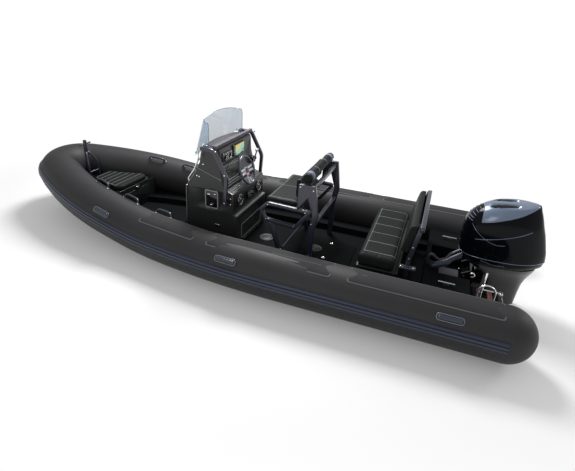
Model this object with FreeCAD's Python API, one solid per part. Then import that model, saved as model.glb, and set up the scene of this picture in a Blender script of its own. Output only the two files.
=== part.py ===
# Rigid inflatable boat, about 6.6 m long, with a centre console and one outboard engine.
# Millimetres. +X points to the bow, +Y to port, +Z up. The origin lies on the centreline,
# at the waterline, below the outer face of the transom.
import FreeCAD, Part
import math
import os

V = FreeCAD.Vector
os.makedirs("parts", exist_ok=True)

# ---------------------------------------------------------------- driving dimensions
tube_radius = 270.0            # inflated collar
tube_half_beam = 1058.0        # centreline of the boat to centre of the tube
tube_height = 300.0            # centre of the tube above the waterline
tube_stern_x = -310.0          # where the stern dome begins
tube_bend_x = 1915.0           # where the straight run ends
entry_radius = 9200.0          # first, horizontal bend
entry_turn = 9.5
sheer_radius = 4400.0          # upward bend
sheer_turn = 8.25
sheer_run = 250.0              # straight rise before the bow
shoulder_radius = 3440.0       # bend in the rising plane
shoulder_turn = 22.7
touch = 0.3                    # clearance between curved faces that touch

floor_z = 120.0                # top of the cockpit floor
floor_thickness = 20.0
side_deck_z = 200.0            # ledge between the floor and the collar
side_deck_width = 188.0
rest_gap = 0.5                 # under lids that lie on their seats
cockpit_front_x = 4560.0       # aft face of the bow locker

keel_depth = 380.0             # keel below the waterline at the transom
transom_height = 255.0         # motor board above the waterline
transom_thickness = 60.0
aft_deck_x = 480.0             # forward edge of the aft deck
aft_deck_z = 360.0
well_half_width = 330.0        # splash well in front of the engine
well_floor_z = 160.0
well_front_wall = 50.0
platform_length = 290.0        # swim platforms beside the engine
platform_z = 300.0
platform_bottom_z = 20.0

console_half_width = 450.0
console_wall = 14.0
console_front_x = 3490.0
console_aft_x = 2730.0
dash_x = 2950.0
ledge_x = 2765.0               # face below the ledge under the wheel
ledge_z = 838.0
step_z = 570.0                 # below it the console stands out to its aft foot
brow_z = 1350.0
rail_y = 510.0                 # side rails beside the console
rail_size = 42.0
screen_thickness = 6.0
screen_top_z = 1700.0
screen_lean = 138.0            # how far the top of the glass lies aft of its foot

wheel_radius = 175.0
wheel_rim_radius = 15.0
wheel_centre = V(ledge_x + 35, 0.0, ledge_z + 167)
wheel_tilt = 22.0              # the shaft points this far above level, going aft

seat_y = 487.0                 # side frames of the helm seat
seat_tube = 45.0
seat_top_z = 905.0
seat_front_x = 2365.0
seat_back_x = 1965.0

bench_half_width = 720.0
bench_front_x = 1180.0
bench_back_x = 740.0
bench_lid_z = 450.0
bench_cushion_top = 586.0

engine_shaft_x = -250.0        # steering axis and drive shaft
engine_shaft_z = -610.0        # propeller shaft
tilt_axis_x = -35.0
tilt_axis_z = 330.0
moving_gap = 5.0
pin_gap = 0.2


# ---------------------------------------------------------------- helpers
def box(x0, x1, y0, y1, z0, z1):
    return Part.makeBox(x1 - x0, y1 - y0, z1 - z0, V(x0, y0, z0))


def rod(start, end, radius):
    way = end - start
    return Part.makeCylinder(radius, way.Length, start, way)


def prism(points, plane, low, high):
    """A polygon given in one plane, carried from low to high along the third axis."""
    if plane == "xz":
        corners = [V(a, low, b) for a, b in points]
        way = V(0, high - low, 0)
    elif plane == "yz":
        corners = [V(low, a, b) for a, b in points]
        way = V(high - low, 0, 0)
    else:
        corners = [V(a, b, low) for a, b in points]
        way = V(0, 0, high - low)
    return Part.Face(Part.makePolygon(corners + corners[:1])).extrude(way)


def strip(points, width, closed=False):
    """The outline of a band of one width along a line of points in a plane, mitred at its corners."""
    half = width / 2
    sides = {1: [], -1: []}
    count = len(points)
    for i, (a, b) in enumerate(points):
        before = points[i - 1] if closed or i > 0 else None
        after = points[(i + 1) % count] if closed or i < count - 1 else None
        ways = []
        for first, last in ((before, (a, b)), ((a, b), after)):
            if first is not None and last is not None:
                length = math.hypot(last[0] - first[0], last[1] - first[1])
                ways.append(((last[0] - first[0]) / length, (last[1] - first[1]) / length))
        nx = -sum(way[1] for way in ways)
        ny = sum(way[0] for way in ways)
        size = math.hypot(nx, ny)
        nx, ny = nx / size, ny / size
        reach = half / (-ways[0][1] * nx + ways[0][0] * ny)
        for side in sides:
            sides[side].append((a + side * reach * nx, b + side * reach * ny))
    return sides[1], sides[-1]


def band(points, width, plane, low, high, closed=False):
    """A flat bar or square tube bent along a line of points, as thick as low to high."""
    left, right = strip(points, width, closed)
    if not closed:
        return prism(left + right[::-1], plane, low, high)
    one = prism(left, plane, low, high)
    other = prism(right, plane, low, high)
    return one.cut(other) if one.Volume > other.Volume else other.cut(one)


def fuse(shapes):
    shapes = list(shapes)
    return shapes[0].multiFuse(shapes[1:]) if len(shapes) > 1 else shapes[0]


def starboard(shape):
    return shape.mirror(V(0, 0, 0), V(0, 1, 0))


def both(shape):
    return Part.makeCompound([shape, starboard(shape)])


def joined(shape):
    return fuse([shape, starboard(shape)])


def save(name, shape):
    shape.exportStep("parts/" + name + ".step")
    solids = shape.Solids
    print(name, len(solids), round(sum(s.Volume for s in solids) / 1e6, 2), shape.isValid())


# ---------------------------------------------------------------- the line of the collar
# Each leg: how long or how wide its bend, how far it turns, and the side it turns to.
def collar_legs():
    point = V(tube_stern_x, tube_half_beam, tube_height)
    tangent, outward, up = V(1, 0, 0), V(0, 1, 0), V(0, 0, 1)
    legs = []
    start = 0.0

    def straight(length):
        nonlocal point, start
        legs.append(dict(start=start, length=length, point=point, tangent=tangent,
                         outward=outward, up=up, axis=None))
        point = point + tangent * length
        start += length

    def bend(radius, turn, inward):
        nonlocal point, tangent, outward, up, start
        axis = tangent.cross(inward)
        centre = point + inward * radius
        length = radius * math.radians(turn)
        legs.append(dict(start=start, length=length, point=point, tangent=tangent,
                         outward=outward, up=up, axis=axis, centre=centre, turn=turn))
        turned = FreeCAD.Rotation(axis, turn)
        point = centre + turned.multVec(point - centre)
        tangent, outward, up = [turned.multVec(v) for v in (tangent, outward, up)]
        start += length

    straight(tube_bend_x - tube_stern_x)
    bend(entry_radius, entry_turn, V(0, -1, 0))
    bend(sheer_radius, sheer_turn, V(0, 0, 1))
    straight(sheer_run)
    rise = V(tangent.x, 0, tangent.z).normalize()
    heading = math.atan2(-tangent.y, tangent.dot(rise))
    inward = V(0, -1, 0) * math.cos(heading) - rise * math.sin(heading)
    bend(shoulder_radius, shoulder_turn, inward)
    heading += math.radians(shoulder_turn)
    inward = V(0, -1, 0) * math.cos(heading) - rise * math.sin(heading)
    bend(point.y / math.cos(heading), 90 - math.degrees(heading), inward)
    return legs


legs = collar_legs()
collar_length = legs[-1]["start"] + legs[-1]["length"]


def frame_at(s):
    """The collar's line at a distance s from the stern: its point and its three directions."""
    leg = [each for each in legs if each["start"] <= s + 1e-6][-1]
    along = s - leg["start"]
    if leg["axis"] is None:
        return leg["point"] + leg["tangent"] * along, leg["tangent"], leg["outward"], leg["up"]
    turned = FreeCAD.Rotation(leg["axis"], leg["turn"] * along / leg["length"])
    point = leg["centre"] + turned.multVec(leg["point"] - leg["centre"])
    return (point,) + tuple(turned.multVec(leg[name]) for name in ("tangent", "outward", "up"))


def inner_point(s, inset):
    """The point that lies this far inside the collar's line."""
    point, tangent, outward, up = frame_at(s)
    return point - outward * inset


def distance_at(x, inset=0.0):
    """How far along the collar the line that lies this far inside it reaches x."""
    low, high = 0.0, collar_length
    for step in range(50):
        middle = (low + high) / 2
        if inner_point(middle, inset).x < x:
            low = middle
        else:
            high = middle
    return low


def carry(section, start=0.0, end=collar_length):
    """A section, drawn in the outward and up directions, carried along the port collar line."""
    pieces = []
    for leg in legs:
        low = max(start, leg["start"])
        high = min(end, leg["start"] + leg["length"])
        if high - low < 1e-3:
            continue
        point, tangent, outward, up = frame_at(low + 1e-9)
        face = section(point, tangent, outward, up)
        if leg["axis"] is None:
            pieces.append(face.extrude(tangent * (high - low)))
        else:
            turn = leg["turn"] * (high - low) / leg["length"]
            pieces.append(face.revolve(leg["centre"], leg["axis"], turn))
    return fuse(pieces)


def round_section(radius):
    def section(point, tangent, outward, up):
        return Part.Face(Part.Wire(Part.makeCircle(radius, point, tangent)))
    return section


def ring_section(inner, outer, low, high):
    """Part of a ring round the tube, between two angles from the outward direction."""
    def section(point, tangent, outward, up):
        def place(radius, angle):
            angle = math.radians(angle)
            return point + outward * (radius * math.cos(angle)) + up * (radius * math.sin(angle))
        middle = (low + high) / 2
        edges = [
            Part.Arc(place(inner, low), place(inner, middle), place(inner, high)).toShape(),
            Part.makeLine(place(inner, high), place(outer, high)),
            Part.Arc(place(outer, high), place(outer, middle), place(outer, low)).toShape(),
            Part.makeLine(place(outer, low), place(inner, low))]
        return Part.Face(Part.Wire(edges))
    return section


# ---------------------------------------------------------------- collar
stern_centre = legs[0]["point"]
bow_tip = frame_at(collar_length)[0]
port_tube = carry(round_section(tube_radius))
dome = Part.makeSphere(tube_radius, stern_centre, V(-1, 0, 0), 0, 90, 360)
collar = joined(fuse([port_tube, dome]))
save("collar", collar)

# What touches the tube is cut with a slightly larger one.
keep_off_port = carry(round_section(tube_radius + touch))
keep_off = both(keep_off_port)

strake_thickness = 22.0
strake_low = -2.0
strake_high = 19.0
rub_strake = joined(carry(ring_section(tube_radius, tube_radius + strake_thickness,
                                       strake_low, strake_high)))
save("rub_strake", rub_strake)

band_thickness = 6.0
band_low = -16.0
lower_band = joined(carry(ring_section(tube_radius, tube_radius + band_thickness,
                                       band_low, strake_low)))
save("lower_band", lower_band)

patch_thickness = 3.0
patch_low = 60.0
patch_high = 108.0
patch_runs = ((-210.0, 1190.0), (1330.0, 2750.0), (2890.0, 3700.0))     # aft and forward x
patches = []
for aft, fore in patch_runs:
    patch = carry(ring_section(tube_radius, tube_radius + patch_thickness, patch_low, patch_high),
                  distance_at(aft), distance_at(fore))
    patches += [patch, starboard(patch)]
save("tread_patches", Part.makeCompound(patches))

# Moulded carry handles stand on the tube's outer side, above the strake.
handle_length = 250.0
handle_width = 70.0
handle_depth = 26.0
handle_angle = 36.0
handle_places = (200.0, 2440.0, 4230.0)      # x of each handle
handles = []
for x in handle_places:
    point, tangent, outward, up = frame_at(distance_at(x))
    lean = math.radians(handle_angle)
    out = outward * math.cos(lean) + up * math.sin(lean)
    across = tangent.cross(out)
    foot = point + out * (tube_radius - handle_depth)
    ends = [foot + tangent * side * (handle_length - handle_width) / 2 for side in (-1, 1)]
    blank = fuse([Part.makeCylinder(handle_width / 2, 2 * handle_depth, end, out) for end in ends])
    bar = Part.makeBox(handle_length - handle_width, handle_width, 2 * handle_depth)
    turn = FreeCAD.Matrix(tangent.x, across.x, out.x, ends[0].x - across.x * handle_width / 2,
                          tangent.y, across.y, out.y, ends[0].y - across.y * handle_width / 2,
                          tangent.z, across.z, out.z, ends[0].z - across.z * handle_width / 2,
                          0, 0, 0, 1)
    blank = blank.fuse(bar.transformGeometry(turn))
    handle = blank.cut(keep_off_port)
    handles += [handle, starboard(handle)]
save("carry_handles", Part.makeCompound(handles))

# Bow grab handles: a low arch of round bar on two pads, on the tube's upper inner side.
grab_length = 230.0
grab_rise = 60.0
grab_bar = 14.0
grab_angle = 118.0
grab_places = (3560.0, 4120.0, 4650.0)
grabs = []
for x in grab_places:
    point, tangent, outward, up = frame_at(distance_at(x))
    lean = math.radians(grab_angle)
    out = outward * math.cos(lean) + up * math.sin(lean)
    foot = point + out * (tube_radius - 4)
    corners = [foot - tangent * grab_length / 2, foot - tangent * grab_length / 3 + out * grab_rise,
               foot + tangent * grab_length / 3 + out * grab_rise, foot + tangent * grab_length / 2]
    bars = [rod(a, b, grab_bar) for a, b in zip(corners, corners[1:])]
    bars += [Part.makeSphere(grab_bar, corner) for corner in corners[1:3]]
    pads = [Part.makeCylinder(34, 12, corner, out) for corner in (corners[0], corners[-1])]
    grab = fuse(bars + pads).cut(keep_off_port)
    grabs += [grab, starboard(grab)]
save("bow_grab_handles", Part.makeCompound(grabs))

# ---------------------------------------------------------------- hull and deck
# The hull's sections, from the transom forward: x, keel height, height of the top.
hull_table = (
    (0.0, -keel_depth, floor_z - floor_thickness),
    (2600.0, -keel_depth, floor_z - floor_thickness),
    (3900.0, -345.0, floor_z - floor_thickness),
    (4560.0, -250.0, floor_z - floor_thickness),
    (bow_tip.x - 671, bow_tip.z - 680, 200.0),
    (bow_tip.x - 321, bow_tip.z - 510, 290.0),
    (bow_tip.x - 81, bow_tip.z - 360, 380.0),
)
chine_inset = 190.0
chine_drop = 330.0
flange_inset = 40.0
flange_drop = 220.0
bow_least = 24.0
sections = []
for x, keel, top in hull_table:
    centre = frame_at(distance_at(x))[0]
    chine_y = max(bow_least, centre.y - chine_inset)
    flange_y = max(2 * bow_least, centre.y - flange_inset)
    chine_z = centre.z - chine_drop
    flange_z = min(top - 1, centre.z - flange_drop)
    half = [(0, keel), (chine_y, chine_z), (flange_y, flange_z), (flange_y, top)]
    ring = half + [(-a, b) for a, b in half[:0:-1]]
    sections.append(Part.makePolygon([V(x, a, b) for a, b in ring + ring[:1]]))
hull = Part.makeLoft(sections, True, True).cut(keep_off)
save("hull", hull)

# Inner moulding: the floor, and the side decks that run along the collar.
def deck_outline(xs, inset):
    """The line that lies this far inside the centre of the collar, on both sides."""
    half = [(x, inner_point(distance_at(x, inset), inset).y) for x in xs]
    return half + [(x, -y) for x, y in half[::-1]]


liner_xs = (aft_deck_x, tube_bend_x, 2800.0, 3400.0, 3900.0, 4300.0, cockpit_front_x)
floor = prism(deck_outline(liner_xs, flange_inset), "xy", floor_z - floor_thickness, side_deck_z)
recess = prism(deck_outline((aft_deck_x - 1,) + liner_xs[1:-1] + (cockpit_front_x + 1,),
                            tube_radius + side_deck_width), "xy", floor_z, side_deck_z + 1)
bow_rows = (cockpit_front_x, cockpit_front_x + 240, cockpit_front_x + 480)
bow_floor = prism(deck_outline(bow_rows, flange_inset), "xy",
                  floor_z - floor_thickness, side_deck_z)
liner = floor.cut(recess).fuse(bow_floor).cut(keep_off).cut(hull)
save("cockpit_liner", max(liner.Solids, key=lambda solid: solid.Volume))

# Aft deck: two side decks, the motor board between them and the splash well in front of it.
side = tube_half_beam - tube_radius
aft_block = box(0, aft_deck_x, -side - 100, side + 100, floor_z - floor_thickness, aft_deck_z)
well = box(transom_thickness, aft_deck_x - well_front_wall, -well_half_width, well_half_width,
           well_floor_z, aft_deck_z + 1)
notch = box(-1, transom_thickness + 1, -well_half_width, well_half_width,
            transom_height, aft_deck_z + 1)
aft_deck = aft_block.cut(keep_off).cut(well).cut(notch)
aft_deck = max(aft_deck.Solids, key=lambda solid: solid.Volume)
save("aft_deck", aft_deck)

platform = box(-platform_length, 0, well_half_width + 20, side + 100,
               platform_bottom_z, platform_z).cut(keep_off)
platform = max(platform.Solids, key=lambda solid: solid.Volume)
save("swim_platforms", both(platform))

# ---------------------------------------------------------------- bow locker, lid and cushion
locker_height = 330.0          # above the floor
locker_wall = 20.0
post_x = float(round(bow_tip.x - tube_radius - 91.0))
locker_front_x = post_x - 170.0
lid_thickness = 22.0
lid_gap = rest_gap
cushion_thickness = 75.0


def stations(aft, fore, count=4):
    """Places along x, evenly spread from one to the other."""
    return tuple(aft + (fore - aft) * k / (count - 1) for k in range(count))


def bow_outline(xs, gap):
    return deck_outline(xs, tube_radius + touch + gap)


locker_top = floor_z + locker_height
locker_xs = stations(cockpit_front_x, locker_front_x)
locker_inset = 6.0
locker_outer = prism(bow_outline(locker_xs, locker_inset), "xy", side_deck_z, locker_top)
locker_inner = prism(bow_outline(stations(cockpit_front_x + locker_wall, locker_front_x - locker_wall),
                                 locker_inset + locker_wall), "xy", side_deck_z - 1, locker_top + 1)
locker = locker_outer.cut(locker_inner).cut(hull)
save("bow_locker", max(locker.Solids, key=lambda solid: solid.Volume))

# The lid and its cushion stay further from the collar than the locker, so that they can swing up between
# the closing tubes. Each row: how far forward of the locker's aft face, and the gap to the collar.
cushion_front_inset = 35.0
cushion_aft_overhang = 12.0
corner_cut = 60.0


def lid_outline(aft, fore, gap_aft, gap_fore):
    """Straight sides between two gaps, and cut corners at the aft edge."""
    half_aft = bow_outline((aft + corner_cut,), gap_aft)[0][1]
    half_fore = bow_outline((fore,), gap_fore)[0][1]
    half = [(aft, half_aft - corner_cut), (aft + corner_cut, half_aft), (fore, half_fore)]
    return half + [(x, -y) for x, y in half[::-1]]


lid_gap_aft = 60.0
lid_gap_fore = 22.0
cushion_gap_aft = 104.0
cushion_gap_fore = 52.0
lid = prism(lid_outline(cockpit_front_x, locker_front_x, lid_gap_aft, lid_gap_fore),
            "xy", locker_top + lid_gap, locker_top + lid_gap + lid_thickness)
save("bow_lid", lid)
bow_cushion = prism(lid_outline(cockpit_front_x - cushion_aft_overhang, locker_front_x - cushion_front_inset,
                                cushion_gap_aft, cushion_gap_fore),
                    "xy", locker_top + lid_gap + lid_thickness,
                    locker_top + lid_gap + lid_thickness + cushion_thickness)
save("bow_cushion", bow_cushion)
latch_plate = box(cockpit_front_x - 14, cockpit_front_x, -28, 28,
                  locker_top - 60, locker_top - 4)
save("locker_latch", latch_plate)

# Foredeck ahead of the lid, with the bow post and its brace.
foredeck_thickness = 30.0
foredeck_x = locker_front_x
foredeck_xs = stations(foredeck_x, post_x + 50, 5)
foredeck = prism(bow_outline(foredeck_xs, locker_inset), "xy",
                 locker_top - foredeck_thickness, locker_top).cut(hull)
post_top = 1000.0
post_radius = 26.0
post_pin_z = 950.0
post_pin_half = 105.0
stay_radius = 14.0
post = rod(V(post_x, 0, locker_top), V(post_x, 0, post_top), post_radius)
cross_pin = rod(V(post_x, -post_pin_half, post_pin_z), V(post_x, post_pin_half, post_pin_z), 9)
stay_line = [V(post_x, 0, 835), V(post_x - 38, 36, 800), V(post_x - 77, 74, 720), V(post_x - 94, 90, 600),
             V(post_x - 96, 92, locker_top)]
stay = fuse([rod(a, b, stay_radius) for a, b in zip(stay_line, stay_line[1:])]
            + [Part.makeSphere(stay_radius, point) for point in stay_line[1:-1]])
stay_foot = Part.makeCylinder(18, 8, stay_line[-1])
stay_tie = rod(V(post_x - 94, -90, 560), V(post_x - 94, 90, 560), 11)
post_foot = Part.makeCylinder(44, 10, V(post_x, 0, locker_top))
save("foredeck", foredeck)
save("bow_post", fuse([joined(stay.fuse(stay_foot)), post, cross_pin, stay_tie, post_foot]).cut(foredeck))

# ---------------------------------------------------------------- console
shoulder_points = [(console_front_x, floor_z), (3454.0, 845.0), (3346.0, 1007.0), (3284.0, 1155.0),
                   (3265.0, brow_z - 30), (3235.0, brow_z), (dash_x + 20, brow_z), (dash_x, brow_z - 20),
                   (dash_x - 5, 1165.0), (2905.0, 960.0), (2885.0, ledge_z + 30), (ledge_x, ledge_z),
                   (ledge_x, step_z), (console_aft_x, step_z - 30), (console_aft_x, floor_z)]


def inset_polygon(points, distance):
    left, right = strip(points, 2 * distance, True)
    area = [abs(sum(a[0] * b[1] - b[0] * a[1] for a, b in zip(p, p[1:] + p[:1]))) for p in (left, right)]
    return left if area[0] < area[1] else right


console_outer = prism(shoulder_points, "xz", -console_half_width, console_half_width)
inner_points = inset_polygon(shoulder_points, console_wall)
inner_points = [(a, b if b > floor_z + 2 * console_wall else floor_z - 1) for a, b in inner_points]
console_inner = prism(inner_points, "xz", -console_half_width + console_wall,
                      console_half_width - console_wall)
hatch_box = (2960.0, 3155.0, 600.0, 850.0)         # x from, x to, z from, z to
hatch_hole = box(hatch_box[0], hatch_box[1], console_half_width - console_wall - 1,
                 console_half_width + 1, hatch_box[2], hatch_box[3])
door_box = (-330.0, 330.0, 160.0, 420.0)           # y from, y to, z from, z to
door_hole = box(console_aft_x - 1, console_aft_x + console_wall + 1, door_box[0], door_box[1],
                door_box[2], door_box[3])
console = console_outer.cut(console_inner).cut(hatch_hole).cut(door_hole)

# A butt hinge: the still barrels and the turning one share a pin that belongs to the turning part.
hinge_barrel = 6.0
hinge_pin = 3.0
hinge_length = 80.0
hinge_slack = 0.5


def hinge(middle, along, still_way, moving_way):
    """A still and a turning half. Each way leads from the axis to the middle of its part's edge."""
    def barrel(low, high):
        return rod(middle + along * low, middle + along * high, hinge_barrel)

    def leaf(low, high, way):
        thin = along.cross(way).normalize() * (hinge_pin / 2)
        corner = middle + along * low - thin
        corners = [corner, corner + along * (high - low), corner + along * (high - low) + way, corner + way]
        return Part.Face(Part.makePolygon(corners + corners[:1])).extrude(thin * 2)

    end = hinge_length / 2
    inner = end / 2
    pin = rod(middle - along * end, middle + along * end, hinge_pin)
    bore = rod(middle - along * (end + 1), middle + along * (end + 1), hinge_pin + 0.05)
    moving = fuse([barrel(-inner, inner), leaf(-inner, inner, moving_way), pin])
    outside = [(-end, -inner - hinge_slack), (inner + hinge_slack, end)]
    still = fuse([barrel(low, high).fuse(leaf(low, high, still_way)) for low, high in outside]).cut(bore)
    return still, moving


hatch = box(hatch_box[0] + moving_gap, hatch_box[1] - moving_gap, console_half_width - 10,
            console_half_width + 2, hatch_box[2] + moving_gap, hatch_box[3] - moving_gap)
hatch_knob = rod(V(3057, console_half_width + 2, hatch_box[2] + 40),
                 V(3057, console_half_width + 16, hatch_box[2] + 40), 16)
hatch_axis = V(3057, console_half_width + 8, hatch_box[3])
hatch_hinge = hinge(hatch_axis, V(1, 0, 0), V(0, -8, 12), V(0, -7, -12))
door = box(console_aft_x + 1, console_aft_x + console_wall - 1, door_box[0] + moving_gap,
           door_box[1] - moving_gap, door_box[2] + moving_gap, door_box[3] - moving_gap)
door_axis_x = console_aft_x - 8
door_hinges = [hinge(V(door_axis_x, y, door_box[2]), V(0, 1, 0), V(8, 0, -12), V(9.5, 0, 12))
               for y in (-200.0, 200.0)]
still_hinges = [still for still, moving in door_hinges] + [hatch_hinge[0]]
save("side_hatch", fuse([hatch, hatch_knob, hatch_hinge[1]]))
save("console_door", fuse([door] + [moving for still, moving in door_hinges]))
save("console_shell", fuse([console] + still_hinges))

# Windscreen: a bent pane that wraps the console's front. Its plan runs along one side, round a corner,
# across the front and back; it leans aft and its two wings end upright.
screen_foot_z = 1215.0         # lower edge, in front of the console
screen_half = console_half_width - 12
screen_corner = 84.0
screen_front_x = 3330.0        # at the lower edge, on the centreline
screen_bulge = 20.0
screen_aft_x = 3085.0
corner_x = screen_front_x - screen_bulge - screen_corner
corner_y = screen_half - screen_corner


def pane_side(inset):
    """One face of the pane in plan, from port to starboard, this far inside the outer one."""
    radius = screen_corner - inset
    half = screen_half - inset
    slant = radius * math.sqrt(0.5)
    front = screen_front_x - inset
    shoulder = V(corner_x + radius, corner_y, screen_foot_z)
    wing = Part.makeLine(V(corner_x - 170, half, screen_foot_z), V(corner_x, half, screen_foot_z))
    turn = Part.Arc(V(corner_x, half, screen_foot_z), V(corner_x + slant, corner_y + slant, screen_foot_z),
                    shoulder).toShape()
    across = Part.Arc(shoulder, V(front, 0, screen_foot_z), V(shoulder.x, -corner_y, screen_foot_z)).toShape()
    return [wing, turn, across, starboard(turn), starboard(wing)]


outer_side, inner_side = pane_side(0.0), pane_side(screen_thickness)
ends = [Part.makeLine(V(corner_x - 170, side * screen_half, screen_foot_z),
                      V(corner_x - 170, side * (screen_half - screen_thickness), screen_foot_z))
              for side in (1, -1)]
pane_plan = Part.Face(Part.Wire(Part.__sortEdges__(outer_side + inner_side + ends)))
screen = pane_plan.extrude(V(-screen_lean, 0, screen_top_z - screen_foot_z))
screen_outline = [(screen_aft_x, brow_z + rest_gap), (3240, brow_z + rest_gap), (3290, screen_foot_z),
                  (screen_front_x + 10, screen_foot_z), (screen_front_x + 10, screen_top_z),
                  (screen_aft_x + 65, screen_top_z), (screen_aft_x + 15, 1640), (screen_aft_x, 1600)]
screen = screen.common(prism(screen_outline, "xz", -console_half_width, console_half_width))
screen = screen.cut(console_outer)
screen = max(screen.Solids, key=lambda solid: solid.Volume)
save("windscreen", screen)

# Side rails of square tube, from the brow aft and down the sides, with one cross bar.
rail_foot_z = 705.0
rail_line = [(3150.0, brow_z + 4), (2985.0, brow_z + 4), (2825.0, 1060.0), (2846.0, rail_foot_z)]
rail = band(rail_line, rail_size, "xz", rail_y - rail_size / 2, rail_y + rail_size / 2)
bracket_y = (console_half_width + 0.0, rail_y - rail_size / 2)
stays = [box(3110, 3150, bracket_y[0], bracket_y[1] + 1, brow_z - 12, brow_z + 20).cut(console_outer),
         box(2832, 2860, bracket_y[0], bracket_y[1] + 1,
             rail_foot_z + 12, rail_foot_z + 52).cut(console_outer)]
crossbar_y = rail_y - rail_size / 2
crossbar = box(2985 - rail_size / 2, 2985 + rail_size / 2, -crossbar_y - 1, crossbar_y + 1,
               brow_z + 4 - rail_size / 2 + 25, brow_z + 4 + rail_size / 2 + 25)
rails = fuse([joined(fuse([rail] + stays)), crossbar]).cut(console_outer).cut(liner)
save("console_rails", rails)

# Chart plotter, switch panel, throttle, speakers and radio.
plotter = box(dash_x - 18, dash_x + 6, -185, 115, 1180, 1325).cut(console_outer)
save("chart_plotter", max(plotter.Solids, key=lambda solid: solid.Volume))
switch_panel = box(dash_x - 16, dash_x + 6, 150, 380, 1185, 1290).cut(console_outer)
save("switch_panel", max(switch_panel.Solids, key=lambda solid: solid.Volume))

dash_way = V(math.cos(math.radians(wheel_tilt)), 0, -math.sin(math.radians(wheel_tilt)))
wheel_rim = Part.makeTorus(wheel_radius, wheel_rim_radius, wheel_centre, dash_way)
hub = rod(wheel_centre - dash_way * 12, wheel_centre + dash_way * 28, 42)
spokes = []
for turn in (90.0, 210.0, 330.0):
    spoke_way = FreeCAD.Rotation(dash_way, turn).multVec(V(0, 1, 0))
    spokes.append(rod(wheel_centre, wheel_centre + spoke_way * wheel_radius, 11))
shaft = rod(wheel_centre, wheel_centre + dash_way * 75, 12)
save("steering_wheel", fuse([wheel_rim, hub, shaft] + spokes))
helm_start = wheel_centre + dash_way * 50
helm_hub = rod(helm_start, wheel_centre + dash_way * 180, 34).cut(console_outer)
helm_hub = helm_hub.cut(rod(wheel_centre, wheel_centre + dash_way * 76, 12 + pin_gap))
save("helm_unit", max(helm_hub.Solids, key=lambda solid: solid.Volume))

throttle_y = -360.0
throttle_base = box(2860, 2960, throttle_y - 45, throttle_y + 45, 985, 1075).cut(console_outer)
throttle_base = max(throttle_base.Solids, key=lambda solid: solid.Volume)
throttle_lever = fuse([rod(V(2880, throttle_y - 60, 1040), V(2880, throttle_y - 45, 1040), 22),
                       rod(V(2880, throttle_y - 52, 1040), V(2845, throttle_y - 52, 1160), 8),
                       rod(V(2845, throttle_y - 64, 1160), V(2845, throttle_y + 4, 1160), 15)])
throttle_lever = throttle_lever.cut(throttle_base)
save("throttle_control", throttle_base)
save("throttle_lever", throttle_lever)

speaker_y = 275.0
speaker_z = 715.0
speakers = []
for y in (-speaker_y, speaker_y):
    speakers.append(rod(V(ledge_x, y, speaker_z), V(ledge_x - 14, y, speaker_z), 82))
save("speakers", Part.makeCompound(speakers))
save("radio", box(ledge_x - 16, ledge_x, -92, 92, speaker_z - 60, speaker_z + 35))

# ---------------------------------------------------------------- helm seat
half_tube = seat_tube / 2
seat_pan_z = 844.0
seat_low, seat_high = seat_y - half_tube, seat_y + half_tube
base_loop = band([(2391, 755), (2307, 845), (1800, 830), (1960, 610), (2330, 640)],
                 seat_tube, "xz", seat_low, seat_high, True)
front_leg = prism([(2290, 620), (2235, 620), (2060, floor_z), (2125, floor_z)], "xz", seat_low, seat_high)
rear_leg = prism([(1755, 1149), (1700, 800), (1735, 600), (1735, floor_z), (1800, floor_z),
                  (1800, 620), (1770, 800), (1835, 1000), (1949, 830), (1949, 1149)],
                 "xz", seat_low, seat_high)
side_frame = fuse([base_loop, front_leg, rear_leg])
tie_y = seat_low + 1
ties = [box(1768, 1768 + 44, -tie_y, tie_y, 1080, 1124), box(1730, 1774, -tie_y, tie_y, 650, 694),
        box(2290, 2334, -tie_y, tie_y, seat_pan_z - 44, seat_pan_z),
        box(1980, 2024, -tie_y, tie_y, seat_pan_z - 44, seat_pan_z)]
save("helm_seat_frame", fuse([joined(side_frame)] + ties))
helm_cushion = box(seat_back_x, seat_front_x, -seat_low + touch, seat_low - touch,
                   seat_pan_z + touch, seat_top_z)
save("helm_seat_cushion", helm_cushion)
helm_pad = box(1945, 2000, -seat_low + touch, seat_low - touch, seat_top_z + 45, 1180)
save("helm_seat_backrest", helm_pad)
roll_radius = 58.0
plate_top = 1149.0
roll_z = plate_top + roll_radius + touch
back_roll = rod(V(1868, -480, roll_z), V(1868, 480, roll_z), roll_radius)
save("helm_seat_roll", back_roll)

# ---------------------------------------------------------------- rear bench
bench_wall = 18.0
bench_lid_thickness = 18.0
bench_under = bench_lid_z - bench_lid_thickness
bench_front_overhang = 10.0
bench_outer = box(bench_back_x, bench_front_x - 20, -bench_half_width + 20, bench_half_width - 20,
                  floor_z, bench_under - rest_gap)
bench_inner = box(bench_back_x + bench_wall, bench_front_x - 20 - bench_wall,
                  -bench_half_width + 20 + bench_wall, bench_half_width - 20 - bench_wall,
                  floor_z - 1, bench_lid_z)
bench_base = bench_outer.cut(bench_inner).cut(liner)
save("bench_locker", max(bench_base.Solids, key=lambda solid: solid.Volume))
save("bench_lid", box(bench_back_x + 10, bench_front_x, -bench_half_width + 4, bench_half_width - 4,
                      bench_under, bench_lid_z))
save("bench_cushion", box(bench_back_x + 30, bench_front_x + bench_front_overhang,
                          -bench_half_width + 4, bench_half_width - 4, bench_lid_z, bench_cushion_top))
back_half = 575.0
back_top = 960.0
backrest = prism([(770, 620), (700, back_top), (600, back_top), (640, 620)], "xz",
                 -back_half + 6, back_half - 6)
back_frame = [band([(660, floor_z), (660, 560), (598, back_top)], 44, "xz", y - 25, y + 25)
              for y in (-back_half + 60, back_half - 60)]
back_rail = box(575, 615, -back_half, back_half, back_top - 60, back_top)
back_rail_low = box(630, 670, -back_half + 60, back_half - 60, 560, 600)
back_rails = fuse(back_frame + [back_rail, back_rail_low])
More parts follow.
